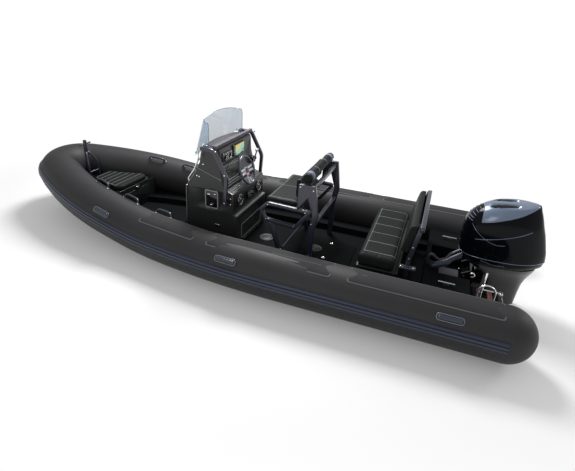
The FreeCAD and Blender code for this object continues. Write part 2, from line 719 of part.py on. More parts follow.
save("bench_back_frame", back_rails)
behind = prism([(682.3, 500), (682.3, 560), (620.3, back_top), (620.3, 1000), (500, 1000), (500, 500)],
               "xz", -700, 700)
save("bench_backrest", backrest.cut(behind))

# ---------------------------------------------------------------- floor hatch, plates, cleats
hatch_x = (1330.0, 1700.0)
hatch_y = 260.0
floor_plate = box(hatch_x[0], hatch_x[1], -hatch_y, hatch_y, floor_z + rest_gap, floor_z + 12)
save("floor_hatch", floor_plate)
plates = []
for x in (console_aft_x - 230, seat_back_x - 135):
    plate = Part.makeCylinder(95, 6, V(x, 0, floor_z))
    plates.append(plate.cut(Part.makeCylinder(70, 3, V(x, 0, floor_z + 4))))
save("deck_plates", Part.makeCompound(plates))

cleats = []
for x, y in ((240.0, 560.0),):
    cleat = fuse([box(x - 30, x + 30, y - 8, y + 8, aft_deck_z, aft_deck_z + 26),
                  rod(V(x - 85, y, aft_deck_z + 32), V(x + 85, y, aft_deck_z + 32), 9)])
    cleats += [cleat, starboard(cleat)]
save("cleats", Part.makeCompound(cleats))

# Stern eyes on the transom and the towing eye on the stem: forged plates, each with one round hole.
def eye(plane_x, plane_z, outer, hole, half_thickness, foot):
    ring = rod(V(plane_x, -half_thickness, plane_z), V(plane_x, half_thickness, plane_z), outer)
    bore = rod(V(plane_x, -half_thickness - 1, plane_z), V(plane_x, half_thickness + 1, plane_z), hole)
    return ring.fuse(prism(foot, "xz", -half_thickness, half_thickness)).cut(bore)


stern_eye_y = 560.0
stern_eye_z = -100.0
stern_eye_x = -34.0
stern_eye_plate = box(-8, 0, -26, 26, stern_eye_z - 42, stern_eye_z + 42)
stern_eye = eye(stern_eye_x, stern_eye_z, 26.0, 14.0, 6.0,
                [(0, stern_eye_z - 34), (0, stern_eye_z + 34), (stern_eye_x + 4, stern_eye_z + 25.6),
                 (stern_eye_x + 4, stern_eye_z - 25.6)]).fuse(stern_eye_plate)
stern_eye.translate(V(0, stern_eye_y, 0))
save("stern_eyes", both(stern_eye.cut(hull)))
bow_eye_x = float(round(bow_tip.x - 551.0))
bow_eye_z = float(round(bow_tip.z - 668.0))
bow_eye = eye(bow_eye_x, bow_eye_z, 30.0, 15.0, 7.0,
              [(bow_eye_x - 75, bow_eye_z + 18), (bow_eye_x + 45, bow_eye_z + 78),
               (bow_eye_x + 30, bow_eye_z + 3),
               (bow_eye_x - 20, bow_eye_z - 22)]).cut(hull)
save("bow_eye", max(bow_eye.Solids, key=lambda solid: solid.Volume))

# ---------------------------------------------------------------- boarding ladder
ladder_y = (430.0, 700.0)
ladder_pivot = V(-platform_length - 24, 0, platform_z + 30)
ladder_bar = 13.0
ladder_run = 240.0
rails_ = []
for y in ladder_y:
    rails_.append(rod(V(ladder_pivot.x, y, ladder_pivot.z),
                      V(ladder_pivot.x + ladder_run, y, ladder_pivot.z + 6), ladder_bar))
rails_.append(rod(V(ladder_pivot.x + ladder_run - ladder_bar, ladder_y[0], ladder_pivot.z + 6),
                  V(ladder_pivot.x + ladder_run - ladder_bar, ladder_y[1], ladder_pivot.z + 6), ladder_bar))
treads = [box(ladder_pivot.x + x, ladder_pivot.x + x + 45, ladder_y[0], ladder_y[1],
              ladder_pivot.z - 8, ladder_pivot.z + 18) for x in (95, 205)]
ladder_pin = 6.0
rails_.append(rod(V(ladder_pivot.x, ladder_y[0] - 32, ladder_pivot.z),
                  V(ladder_pivot.x, ladder_y[1] + 32, ladder_pivot.z), ladder_pin))
save("boarding_ladder", fuse(rails_ + treads))
hinge_blocks = []
ladder_bore = rod(V(ladder_pivot.x, 0, ladder_pivot.z), V(ladder_pivot.x, 900, ladder_pivot.z),
                  ladder_pin + 0.05)
for low in (ladder_y[0] - 32, ladder_y[1] + 18):
    block = prism([(ladder_pivot.x - 16, ladder_pivot.z - 16), (ladder_pivot.x + 16, ladder_pivot.z - 16),
                   (-platform_length + 60, platform_z), (-platform_length + 60, platform_z + 10),
                   (ladder_pivot.x + 16, ladder_pivot.z + 16), (ladder_pivot.x - 16, ladder_pivot.z + 16)],
                  "xz", low, low + 14)
    hinge_blocks.append(block.cut(ladder_bore).cut(platform))
save("ladder_hinges", Part.makeCompound(hinge_blocks))

# ---------------------------------------------------------------- outboard engine
clamp_half = 150.0
clamp_wall = 16.0
clamp = []
for y in (-clamp_half, clamp_half - clamp_wall):
    clamp.append(prism([(0, -60), (0, transom_height + 2), (transom_thickness + 3, transom_height + 2),
                        (transom_thickness + 3, 180), (transom_thickness + 18, 180),
                        (transom_thickness + 18, transom_height + 60), (tilt_axis_x + 30, tilt_axis_z + 36),
                        (tilt_axis_x - 34, tilt_axis_z + 36), (tilt_axis_x - 34, tilt_axis_z - 60),
                        (-26, 60), (-26, -60)], "xz", y, y + clamp_wall))
clamp.append(rod(V(tilt_axis_x, -clamp_half, tilt_axis_z), V(tilt_axis_x, clamp_half, tilt_axis_z), 14))
save("clamp_bracket", fuse(clamp))

swivel_half = clamp_half - clamp_wall - 4.0
steer_x = engine_shaft_x + 95
tilt_ear = rod(V(tilt_axis_x, -swivel_half, tilt_axis_z), V(tilt_axis_x, swivel_half, tilt_axis_z), 36)
swivel_body = box(-150, tilt_axis_x - 5, -60, 60, 40, tilt_axis_z + 10)
steer_tube = rod(V(steer_x, 0, 0), V(steer_x, 0, tilt_axis_z + 40), 52)
swivel = fuse([tilt_ear, swivel_body, steer_tube])
swivel = swivel.cut(rod(V(tilt_axis_x, -clamp_half, tilt_axis_z), V(tilt_axis_x, clamp_half, tilt_axis_z),
                        14 + pin_gap))
swivel = swivel.cut(rod(V(steer_x, 0, -10), V(steer_x, 0, tilt_axis_z + 60), 26 + pin_gap))
save("swivel_bracket", swivel)

# The cowling and the midsection below it are lofted through plan curves at rising heights.
# Each row: height, front x, aft x, half width, squareness, rise per length towards the stern.
def plan_curve(height, front, aft, half, squareness, rise, tail):
    """A closed polygon on a superellipse whose stern end narrows by the share tail."""
    corners = []
    for k in range(plan_corners):
        turn = 2 * math.pi * k / plan_corners
        c, s = math.cos(turn), math.sin(turn)
        x = (front + aft) / 2 + (front - aft) / 2 * math.copysign(abs(c) ** (2 / squareness), c)
        y = half * math.copysign(abs(s) ** (2 / squareness), s)
        back = max(0.0, ((front + aft) / 2 - x) / ((front - aft) / 2))
        corners.append(V(x, y * (1 - tail * back ** 2.2), height - rise * (x + 100)))
    return Part.makePolygon(corners + corners[:1])


plan_corners = 20
cowl_tail = 0.42
cowl_table = (
    (500.0, 50.0, -600.0, 175.0, 2.4, 0.0),
    (530.0, 145.0, -690.0, 222.0, 2.6, 0.03),
    (640.0, 173.0, -694.0, 232.0, 2.7, 0.04),
    (880.0, 182.0, -616.0, 234.0, 2.6, 0.05),
    (1020.0, 146.0, -556.0, 218.0, 2.4, 0.08),
    (1105.0, 68.0, -514.0, 188.0, 2.2, 0.11),
    (1148.0, -4.0, -492.0, 160.0, 2.0, 0.13),
)
cowl = Part.makeLoft([plan_curve(*row, cowl_tail) for row in cowl_table], True, True)
save("engine_cowl", cowl)

# The midsection is behind the steering tube; above the clamp it widens forward under the cowling.
leg_tail = 0.25
leg_clear = 62.0               # from the steering axis to the front of the midsection
apron_bottom = 378.0
leg_front = steer_x - leg_clear
apron_table = (
    (500.0, 90.0, -635.0, 185.0, 2.4, 0.0),
    (440.0, 20.0, -620.0, 160.0, 2.3, 0.0),
    (apron_bottom, -60.0, -600.0, 125.0, 2.2, 0.0),
)
leg_table = (
    (apron_bottom + 10, leg_front, -600.0, 122.0, 2.1, 0.0),
    (270.0, leg_front, -567.0, 92.0, 2.1, 0.0),
    (150.0, leg_front, -556.0, 78.0, 2.1, 0.0),
    (-200.0, leg_front - 18, -540.0, 62.0, 2.0, 0.0),
    (-385.0, leg_front - 45, -525.0, 46.0, 1.9, 0.0),
    (-560.0, leg_front - 73, -530.0, 34.0, 1.8, 0.0),
    (engine_shaft_z - 30, leg_front - 73, -545.0, 30.0, 1.8, 0.0),
)
apron = Part.makeLoft([plan_curve(*row, leg_tail) for row in apron_table], True, True)
leg = Part.makeLoft([plan_curve(*row, leg_tail) for row in leg_table], True, True)
plate_z = -385.0
arms = [box(steer_x - 100, steer_x + 40, -40, 40, -60, -8),
        box(steer_x - 100, steer_x + 40, -60, 60, apron_bottom, 440)]
pin = rod(V(steer_x, 0, -50), V(steer_x, 0, tilt_axis_z + 60), 26)
cav_plate = box(-640, steer_x - 70, -110, 110, plate_z - 6, plate_z + 6)
torpedo = rod(V(-560, 0, engine_shaft_z), V(-230, 0, engine_shaft_z), 58)
prop_shaft = 16.0
prop_shaft_length = 60.0
torpedo_nose = Part.makeCone(58, 18, 70, V(-230, 0, engine_shaft_z), V(1, 0, 0))
skeg = prism([(-300, engine_shaft_z), (-540, engine_shaft_z), (-560, engine_shaft_z - 240),
              (-500, engine_shaft_z - 240)], "xz", -7, 7)
midsection = fuse([apron, leg, pin, cav_plate, torpedo, torpedo_nose, skeg] + arms).cut(cowl)
midsection = midsection.cut(rod(V(-561, 0, engine_shaft_z), V(-560 + prop_shaft_length, 0, engine_shaft_z),
                                prop_shaft + 0.1))
save("engine_leg", max(midsection.Solids, key=lambda solid: solid.Volume))

prop_gap = 2.0
prop_x = -560.0 - prop_gap
prop_hub = rod(V(prop_x - 110, 0, engine_shaft_z), V(prop_x, 0, engine_shaft_z), 52)
blades = []
for turn in (0.0, 120.0, 240.0):
    blade = box(-30, 30, -9, 9, 40, 184)
    blade.rotate(V(0, 0, 0), V(0, 0, 1), 35)
    blade.rotate(V(0, 0, 0), V(1, 0, 0), turn)
    blade.translate(V(prop_x - 55, 0, engine_shaft_z))
    blades.append(blade)
shaft_end = rod(V(prop_x, 0, engine_shaft_z), V(-561 + prop_shaft_length, 0, engine_shaft_z), prop_shaft)
prop = fuse([prop_hub, shaft_end] + blades)
save("propeller", prop)
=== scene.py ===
import math
import bpy
import numpy as np
from mathutils import Matrix, Vector


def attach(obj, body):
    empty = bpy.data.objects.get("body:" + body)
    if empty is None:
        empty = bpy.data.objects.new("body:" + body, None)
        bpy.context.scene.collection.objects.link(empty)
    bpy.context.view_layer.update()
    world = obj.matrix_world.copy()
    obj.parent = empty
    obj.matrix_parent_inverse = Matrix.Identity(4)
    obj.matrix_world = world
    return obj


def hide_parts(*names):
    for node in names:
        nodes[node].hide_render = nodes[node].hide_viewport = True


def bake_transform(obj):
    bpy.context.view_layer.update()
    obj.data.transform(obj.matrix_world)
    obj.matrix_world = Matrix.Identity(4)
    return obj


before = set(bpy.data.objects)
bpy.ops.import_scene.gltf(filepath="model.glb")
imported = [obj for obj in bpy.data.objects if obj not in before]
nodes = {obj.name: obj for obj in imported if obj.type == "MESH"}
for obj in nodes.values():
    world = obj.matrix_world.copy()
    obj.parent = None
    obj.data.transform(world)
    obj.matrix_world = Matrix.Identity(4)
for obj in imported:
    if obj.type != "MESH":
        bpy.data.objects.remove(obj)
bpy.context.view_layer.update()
foreAft, across, upright, astern = (1, 0, 0), (0, 1, 0), (0, 0, 1), (-1, 0, 0)
print("frame loaded", len(nodes), "nodes")


def arithmetic(operation, swapped=False):
    # a method that joins a socket and another value through one Math node
    def combine(self, other):
        values = (other, self) if swapped else (self, other)
        return self.math(operation, *values)
    return combine


class Signal:
    # a socket's value, which plain arithmetic turns into math nodes
    def __init__(self, graph, socket):
        self.graph = graph
        self.socket = socket

    def math(self, operation, *values):
        return self.graph.node("ShaderNodeMath", {"operation": operation}, dict(enumerate(values)))

    __add__ = arithmetic("ADD")
    __radd__ = arithmetic("ADD", True)
    __sub__ = arithmetic("SUBTRACT")
    __rsub__ = arithmetic("SUBTRACT", True)
    __mul__ = arithmetic("MULTIPLY")
    __truediv__ = arithmetic("DIVIDE")
    __gt__ = arithmetic("GREATER_THAN")
    __lt__ = arithmetic("LESS_THAN")
    power = arithmetic("POWER")
    most = arithmetic("MAXIMUM")

    def sine(self):
        return self.math("SINE", self)

    def fraction(self):
        return self.math("FRACT", self)

    def size(self):
        return self.math("ABSOLUTE", self)

    def ramp(self, low, high):
        # 0 below low, 1 above high, smooth between
        return self.graph.node("ShaderNodeMapRange", {"interpolation_type": "SMOOTHSTEP"},
            {"Value": self, "From Min": low, "From Max": high})


class Graph:
    # the nodes of a material or of the world
    def __init__(self, holder):
        holder.use_nodes = True
        self.tree = holder.node_tree

    def feed(self, socket, value):
        if isinstance(value, Signal):
            self.tree.links.new(value.socket, socket)
        else:
            socket.default_value = value

    def node(self, kind, settings=None, values=None, output=0):
        made = self.tree.nodes.new(kind)
        for key, value in (settings or {}).items():
            setattr(made, key, value)
        for key, value in (values or {}).items():
            self.feed(made.inputs[key], value)
        return Signal(self, made.outputs[output])

    def rays(self, *kinds):
        # 1 for a ray of any of these kinds
        seen = [self.node("ShaderNodeLightPath", output="Is " + kind + " Ray") for kind in kinds]
        total = seen[0]
        for other in seen[1:]:
            total = total.most(other)
        return total

    def surface(self, output, share, plain, glowing):
        # the plain shader, and the glowing one by its share
        mixed = self.node("ShaderNodeMixShader", {}, {0: share, 1: plain, 2: glowing})
        self.feed(self.tree.nodes[output].inputs["Surface"], mixed)


class Finish(Graph):
    def __init__(self, name, color, roughness=0.5, **constants):
        self.material = bpy.data.materials.new(name)
        super().__init__(self.material)
        self.shader = self.tree.nodes["Principled BSDF"]
        self.set("Base Color", tone(color))
        self.set("Roughness", roughness)
        for key, value in constants.items():
            self.set(key, value)

    def set(self, name, value):
        self.feed(self.shader.inputs[name], value)

    def place(self, kind="Object"):
        return self.node("ShaderNodeTexCoord", output=kind)

    def axes(self, kind="Object"):
        split = self.node("ShaderNodeSeparateXYZ", values={0: self.place(kind)})
        return [Signal(self, output) for output in split.socket.node.outputs]

    def noise(self, size, detail=2.0, stretch=(1, 1, 1)):
        # a cloudy value about 0.5, with features of the given size in metres
        spot = self.node("ShaderNodeVectorMath", {"operation": "MULTIPLY"},
            {0: self.place(), 1: tuple(s / size for s in stretch)})
        return self.node("ShaderNodeTexNoise", values={"Vector": spot, "Scale": 1.0, "Detail": detail})

    def mix(self, mask, *pair):
        first, second = [color if isinstance(color, Signal) else tone(color) for color in pair]
        return self.node("ShaderNodeMix", {"data_type": "RGBA"}, {0: mask, 6: first, 7: second}, 2)

    def bump(self, height, strength=1.0):
        # height in metres
        normal = self.node("ShaderNodeBump",
            values={"Height": height, "Strength": strength, "Distance": 1.0})
        self.set("Normal", normal)
        return self


def tone(hexColor):
    # the linear value of a screen colour
    parts = [int(hexColor[i:i + 2], 16) / 255 for i in (0, 2, 4)]
    return (*(c / 12.92 if c <= 0.04045 else ((c + 0.055) / 1.055) ** 2.4 for c in parts), 1.0)


finishes = {}


def tubeFabricFinish():
    f = Finish("tubeFabric", "323234", 0.55, **{"Specular IOR Level": 0.3})
    cloud = f.noise(0.35, 3.0)
    f.set("Base Color", f.mix(cloud, "29292b", "313133"))
    f.set("Roughness", 0.5 + cloud * 0.12)
    x, y = f.axes("UV")[:2]
    weave = (x * 2400.0).sine() * (y * 2400.0).sine()
    return f.bump(weave * 0.00012 + f.noise(0.02) * 0.0004, 0.5)


def rubberFinish(name, color, roughness):
    f = Finish(name, color, roughness)
    cloud = f.noise(0.05, 4.0)
    f.set("Roughness", roughness - 0.08 + cloud * 0.16)
    return f.bump(f.noise(0.004, 2.0) * 0.0003, 0.6)


def treadFinish():
    # the row one in from the edge is painted lighter: a painted highlight along the mat's border
    f = Finish("treadRubber", "343436", 0.75, **{"Specular IOR Level": 0.25})
    x, y = f.axes()[:2]
    ridges = ((x + y) * 420.0).sine() * ((x - y) * 420.0).sine()
    row = f.axes("UV")[0]
    paintedHighlightRow = (row > 1.0) * (row < 2.0)
    cloud = f.noise(0.12, 3.0)
    f.set("Base Color", f.mix(paintedHighlightRow, f.mix(cloud, "2a2a2c", "333335"), "5e5e62"))
    return f.bump(ridges * 0.0008 * (1 - paintedHighlightRow), 0.6)


def handleFinish():
    # slate rubber; the top of its rim is painted lighter, a painted highlight
    f = Finish("handleRubber", "262c38", 0.25, **{"Coat Weight": 0.4})
    row = f.axes("UV")[0]
    rim = (row > 2.2) * (row < 4.6)
    f.set("Base Color", f.mix(rim, f.mix(f.noise(0.05, 3.0), "222834", "303846"), "656b76"))
    f.set("Roughness", 0.26 + f.noise(0.03, 3.0) * 0.1)
    return f


def gelcoatFinish(name, color, dark, roughness=0.3, grip=False):
    f = Finish(name, color, roughness, **{"Coat Weight": 0.0 if grip else 0.3, "Coat Roughness": 0.15,
        "Specular IOR Level": 0.03 if grip else 0.4})
    cloud = f.noise(0.25, 3.0)
    f.set("Base Color", f.mix(cloud, dark, color))
    f.set("Roughness", roughness - 0.05 + cloud * 0.1)
    if grip:
        return f.bump(f.noise(0.0035, 1.0).ramp(0.45, 0.6) * 0.0005, 0.8)
    return f.bump(f.noise(0.03, 1.0) * 0.0004, 0.4)


def paintFinish(name, color, roughness=0.32, metallic=0.0):
    f = Finish(name, color, roughness, Metallic=metallic, **{"Coat Weight": 0.5, "Coat Roughness": 0.2})
    cloud = f.noise(0.06, 4.0)
    f.set("Roughness", roughness - 0.06 + cloud * 0.12)
    return f.bump(f.noise(0.0012, 1.0) * 0.00012, 0.5)


def glossFinish(name, color, coat=1.0, specular=0.5):
    f = Finish(name, color, 0.12,
        **{"Coat Weight": coat, "Coat Roughness": 0.04, "Specular IOR Level": specular})
    f.set("Roughness", 0.1 + f.noise(0.2, 3.0) * 0.06)
    return f


def metalFinish(name, color, roughness):
    f = Finish(name, color, roughness, Metallic=1.0)
    f.set("Roughness", roughness + f.noise(0.01, 4.0, (1, 1, 8)) * 0.12)
    return f


def leatherFinish():
    f = Finish("seatLeather", "232625", 0.55, **{"Specular IOR Level": 0.07})
    cloud = f.noise(0.09, 3.0)
    seam = f.node("ShaderNodeAttribute", {"attribute_name": "seam"}, output=2).ramp(0.15, 0.5)
    f.set("Base Color", f.mix(seam, f.mix(cloud, "191c1c", "232625"), "747877"))
    cells = f.node("ShaderNodeTexVoronoi", {"feature": "DISTANCE_TO_EDGE"},
        {"Vector": f.place(), "Scale": 420.0})
    f.set("Roughness", 0.44 + cloud * 0.14)
    return f.bump(cells.ramp(0.0, 0.25) * 0.0004 + f.noise(0.05) * 0.001, 0.5)


def glassFinish():
    f = Finish("screenGlass", "b4cbe0", 0.03, Alpha=0.12, **{"Specular IOR Level": 0.5})
    # clear face on, dark blue where it is seen along its surface
    edge = f.node("ShaderNodeLayerWeight", {}, {"Blend": 0.5}, output="Facing").ramp(0.88, 0.995)
    f.set("Base Color", f.mix(edge, "86adc9", "26344e"))
    f.set("Alpha", 0.29 + edge * 0.4 + f.noise(1.5, 1.0) * 0.03)
    return f


def woodFinish():
    f = Finish("treadWood", "5e3a33", 0.5)
    f.set("Base Color", f.mix(f.noise(0.02, 4.0, (1, 0.12, 1)), "4a2c28", "6c453c"))
    return f


def slateFinish(name, color, metallic, hollow=False):
    f = Finish(name, color, 0.26, Metallic=metallic, **{"Coat Weight": 0.6, "Coat Roughness": 0.08})
    f.set("Roughness", 0.22 + f.noise(0.15, 3.0) * 0.1)
    if hollow:
        # painted shade: inside the hand hollow the colour darkens to near black
        x, y = f.axes()[:2]
        dx, dy = (x + 0.165) / 0.14, (y.size() - 0.086) / 0.048
        dark = (1 - dx * dx - dy * dy).ramp(0.02, 0.3)
        f.set("Base Color", f.mix(dark, f.mix(f.noise(0.2), "5f6e84", "73839b"), "07090d"))
    return f


def chartFinish():
    # land and water of a made-up chart with depth lines
    f = Finish("chartScreen", "58b08a", 0.15, **{"Coat Weight": 0.8, "Coat Roughness": 0.05})
    x, y, z = f.axes()
    field = f.noise(0.06, 4.0) * 0.6 + (y + 0.05) * 3.0 + (z - 1.253) * 9.0
    land = field.ramp(0.4, 0.41)
    depth = (field * 14.0).fraction().ramp(0.42, 0.5) * (1 - land)
    water = f.mix(depth, "58b08a", "8ccbb0")
    f.set("Base Color", f.mix(land, water, "d6c75c"))
    f.set("Emission Color", f.mix(land, water, "d6c75c"))
    f.set("Emission Strength", 0.35)
    return f


finishes["tube"] = tubeFabricFinish()
finishes["tread"] = treadFinish()
finishes["handle"] = handleFinish()
finishes["leather"] = leatherFinish()
finishes["glass"] = glassFinish()
for key, name, color, roughness in (("strake", "strakeRubber", "252c3e", 0.36),
        ("band", "bandRubber", "131315", 0.5), ("webbing", "strapWebbing", "6a7088", 0.6),
        ("satin", "satinBlack", "1a1a1d", 0.4), ("trim", "trimGrey", "8d8f92", 0.4),
        ("brow", "browPad", "56535c", 0.7), ("red", "stopSwitchRed", "b03030", 0.35)):
    finishes[key] = rubberFinish(name, color, roughness)
finishes["hull"] = gelcoatFinish("hullGelcoat", "17171a", "101012", 0.2)
finishes["deck"] = gelcoatFinish("deckGelcoat", "131516", "0f1112", 0.6, grip=True)
finishes["mould"] = gelcoatFinish("smoothGelcoat", "202223", "1a1c1d", 0.35)
finishes["console"] = gelcoatFinish("consoleGelcoat", "2b2c2c", "252626", 0.42)
finishes["frame"] = paintFinish("framePaint", "282838", 0.34)
finishes["wheelGrip"] = paintFinish("wheelGrip", "3a4356", 0.3)
finishes["spoke"] = paintFinish("spokeSilver", "dcdce2", 0.3, 0.35)
finishes["legPaint"] = paintFinish("legPaint", "141417", 0.25)
finishes["chrome"] = metalFinish("chrome", "e8e8ea", 0.08)
finishes["steel"] = metalFinish("brushedSteel", "c4c4c6", 0.28)
finishes["gloss"] = glossFinish("glossBlack", "0d0d10", 0.5, 0.4)
finishes["instrument"] = glossFinish("instrumentBlack", "121317")
finishes["cowl"] = glossFinish("cowlBlack", "07090e", 0.05, 0.1)
finishes["slate"] = slateFinish("cowlSlate", "66758a", 0.4)
finishes["lens"] = slateFinish("cowlLens", "66758a", 0.25, True)
finishes["wood"] = woodFinish()
finishes["chart"] = chartFinish()
print("finishes made", len(finishes))


# a part is (points, faces, the texture places of each face's corners)
def gridPart(points, along=None, closed=False, caps=(False, False)):
    # quads between the neighbours of a rows x columns array; closed joins the last column to the first
    rows, columns = points.shape[:2]
    i, j = np.meshgrid(np.arange(rows - 1), np.arange(columns if closed else columns - 1), indexing="ij")
    step = np.linalg.norm(np.diff(points[rows // 2], axis=0, append=points[rows // 2][:1]), axis=1)
    v = np.concatenate([[0], np.cumsum(step)])
    if along is None:
        along = np.concatenate([[0],
            np.cumsum(np.linalg.norm(np.diff(points, axis=0), axis=2).mean(axis=1))])
    u = np.asarray(along, float)
    quad = ((0, 0), (0, 1), (1, 1), (1, 0))
    faces = np.stack([(i + a) * columns + (j + b) % columns for a, b in quad], -1).reshape(-1, 4)
    corners = np.stack([np.stack([u[i + a], v[j + b]], -1) for a, b in quad], 2).reshape(-1, 4, 2)
    faces = [tuple(face) for face in faces.tolist()]
    corners = [list(map(tuple, corner)) for corner in corners.tolist()]
    flat = points.reshape(-1, 3)
    for row, wanted in ((0, caps[0]), (rows - 1, caps[1])):
        if wanted:
            ring = list(range(row * columns, (row + 1) * columns))
            ring = ring[::-1] if row == 0 else ring
            faces.append(tuple(ring))
            corners.append([(float(flat[k][0]), float(flat[k][1])) for k in ring])
    return flat, faces, corners


def volumeOf(part):
    points, faces, corners = part
    total = 0.0
    for size in {len(face) for face in faces}:
        chosen = np.array([face for face in faces if len(face) == size])
        a = points[chosen[:, 0]]
        for k in range(1, size - 1):
            total += np.einsum("ij,ij->i", a,
                np.cross(points[chosen[:, k]], points[chosen[:, k + 1]])).sum()
    return total / 6


def outward(part):
    # a closed part whose faces all point out
    points, faces, corners = part
    if volumeOf(part) < 0:
        return points, [face[::-1] for face in faces], [corner[::-1] for corner in corners]
    return part


def closedPart(rows, along=None):
    # rows of points closed round and at both ends
    return outward(gridPart(np.asarray(rows), along, True, (True, True)))


def mirrored(part):
    points, faces, corners = part
    return points * (1, -1, 1), [face[::-1] for face in faces], [corner[::-1] for corner in corners]


def twoSides(parts):
    return list(parts) + [mirrored(part) for part in parts]


def linked(name, data):
    # a new object in the scene
    made = bpy.data.objects.new(name, data)
    bpy.context.scene.collection.objects.link(made)
    return made


def makePiece(name, parts, finish, replaced=None, body="root", sharp=38.0):
    # one mesh object from many parts, smooth but for edges sharper than the angle
    points = np.concatenate([part[0] for part in parts])
    faces, corners, start = [], [], 0
    for part in parts:
        faces += [tuple(k + start for k in face) for face in part[1]]
        corners += part[2]
        start += len(part[0])
    mesh = bpy.data.meshes.new(name)
    mesh.from_pydata(points.tolist(), [], faces)
    layer = mesh.uv_layers.new(name="UVMap")
    layer.data.foreach_set("uv",
        np.array([v for corner in corners for v in corner], dtype=np.float32).ravel())
    mesh.polygons.foreach_set("use_smooth", np.ones(len(mesh.polygons), bool))
    mesh.update()
    mesh.set_sharp_from_angle(angle=math.radians(sharp))
    made = linked(name, mesh)
    mesh.materials.append(finishes[finish].material)
    if body:
        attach(made, body)
    if replaced:
        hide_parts(replaced)
    return made


# profiles and paths
def roundCorners(points, radius, steps, closed=True):
    # each corner becomes an arc-like curve of the given radius: a quadratic through its two tangent points
    points = np.asarray(points, float)
    count = len(points)
    out = []
    for k in range(count):
        here = points[k]
        if not closed and k in (0, count - 1):
            out.append(here[None])
            continue
        before, after = points[k - 1], points[(k + 1) % count]
        back, ahead = before - here, after - here
        lengthBack, lengthAhead = np.linalg.norm(back), np.linalg.norm(ahead)
        size = radius[k] if isinstance(radius, (list, tuple)) else radius
        cut = min(size, 0.48 * lengthBack, 0.48 * lengthAhead)
        if cut < 1e-6:
            out.append(here[None])
            continue
        t = np.linspace(0, 1, steps + 1)[:, None]
        a, b = here + back / lengthBack * cut, here + ahead / lengthAhead * cut
        out.append((1 - t) ** 2 * a + 2 * t * (1 - t) * here + t ** 2 * b)
    return np.concatenate(out)


def boxCorners(low, high):
    # the four corners of a rectangle, from two opposite ones
    return [(low[0], low[1]), (high[0], low[1]), (high[0], high[1]), (low[0], high[1])]


def rectangle(width, height, radius, steps=3):
    half, tall = width / 2, height / 2
    return roundCorners(boxCorners((-half, -tall), (half, tall)), radius, steps)


def circle(radius, count):
    angle = np.arange(count) / count * 2 * math.pi
    return np.stack([radius * np.cos(angle), radius * np.sin(angle)], -1)


def smoothPath(points, steps):
    # Catmull-Rom curve through the points
    points = np.asarray(points, float)
    padded = np.concatenate([2 * points[:1] - points[1:2], points, 2 * points[-1:] - points[-2:-1]])
    t = np.linspace(0, 1, steps, endpoint=False)[:, None]
    out = []
    for k in range(len(points) - 1):
        a, b, c, d = padded[k:k + 4]
        out.append(0.5 * (2 * b + (c - a) * t + (2 * a - 5 * b + 4 * c - d) * t ** 2
            + (3 * b - a - 3 * c + d) * t ** 3))
    return np.concatenate(out + [points[-1:]])


def pathFrames(path, up=upright, closed=False):
    # side and up direction at each point, square to the path
    path = np.asarray(path, float)
    if closed:
        tangent = np.roll(path, -1, 0) - np.roll(path, 1, 0)
    else:
        tangent = np.gradient(path, axis=0)
    tangent /= np.linalg.norm(tangent, axis=1)[:, None]
    side = np.cross(tangent, np.asarray(up, float))
    side /= np.maximum(np.linalg.norm(side, axis=1)[:, None], 1e-9)
    return tangent, side, np.cross(side, tangent)


def sweep(profile, path, up=upright, closed=False, scale=None):
    # a closed profile carried along a path; mitred, so that a band keeps its width at a corner
    path = np.asarray(path, float)
    tangent, side, top = pathFrames(path, up, closed)
    stretch = np.ones(len(path))
    if not closed:
        before = np.diff(path, axis=0)[:-1]
        after = np.diff(path, axis=0)[1:]
        lengths = np.linalg.norm(before, axis=1), np.linalg.norm(after, axis=1)
        cosine = (np.einsum("ij,ij->i", before, after) / lengths[0] / lengths[1]).clip(-1, 1)
        stretch[1:-1] = 1 / np.maximum(np.sqrt((1 + cosine) / 2), 0.3)
    size = np.ones(len(path)) if scale is None else np.asarray(scale, float)
    bend = np.cross(np.gradient(tangent, axis=0), tangent)
    # stretch only in the plane of the bend: the direction square to the bend's axis
    length = np.linalg.norm(bend, axis=1)
    inPlane = np.zeros((len(path), 2))
    good = length > 1e-6
    unit = np.zeros_like(bend)
    unit[good] = bend[good] / length[good][:, None]
    normal = np.cross(unit, tangent)
    inPlane[:, 0] = np.einsum("ij,ij->i", normal, side)
    inPlane[:, 1] = np.einsum("ij,ij->i", normal, top)
    flat = profile[None] * size[:, None, None]
    reach = np.einsum("kj,nj->nk", profile, inPlane) * size[:, None]
    flat = flat + ((stretch - 1)[:, None] * reach)[..., None] * inPlane[:, None]
    points = path[:, None] + flat[..., :1] * side[:, None] + flat[..., 1:] * top[:, None]
    if closed:
        points = np.concatenate([points, points[:1]])
        return gridPart(points, closed=True)
    return closedPart(points)


def rod(path, radius, sides, up=upright, closed=False, scale=None):
    return sweep(circle(radius, sides), path, up, closed, scale)


def squareTube(points, width, height, bend=0.03, corner=0.006, up=across, closed=False):
    # a rounded box section along straight runs with short bends
    path = roundCorners(points, bend, 4, closed)
    return sweep(rectangle(width, height, corner, 2), path, up, closed)


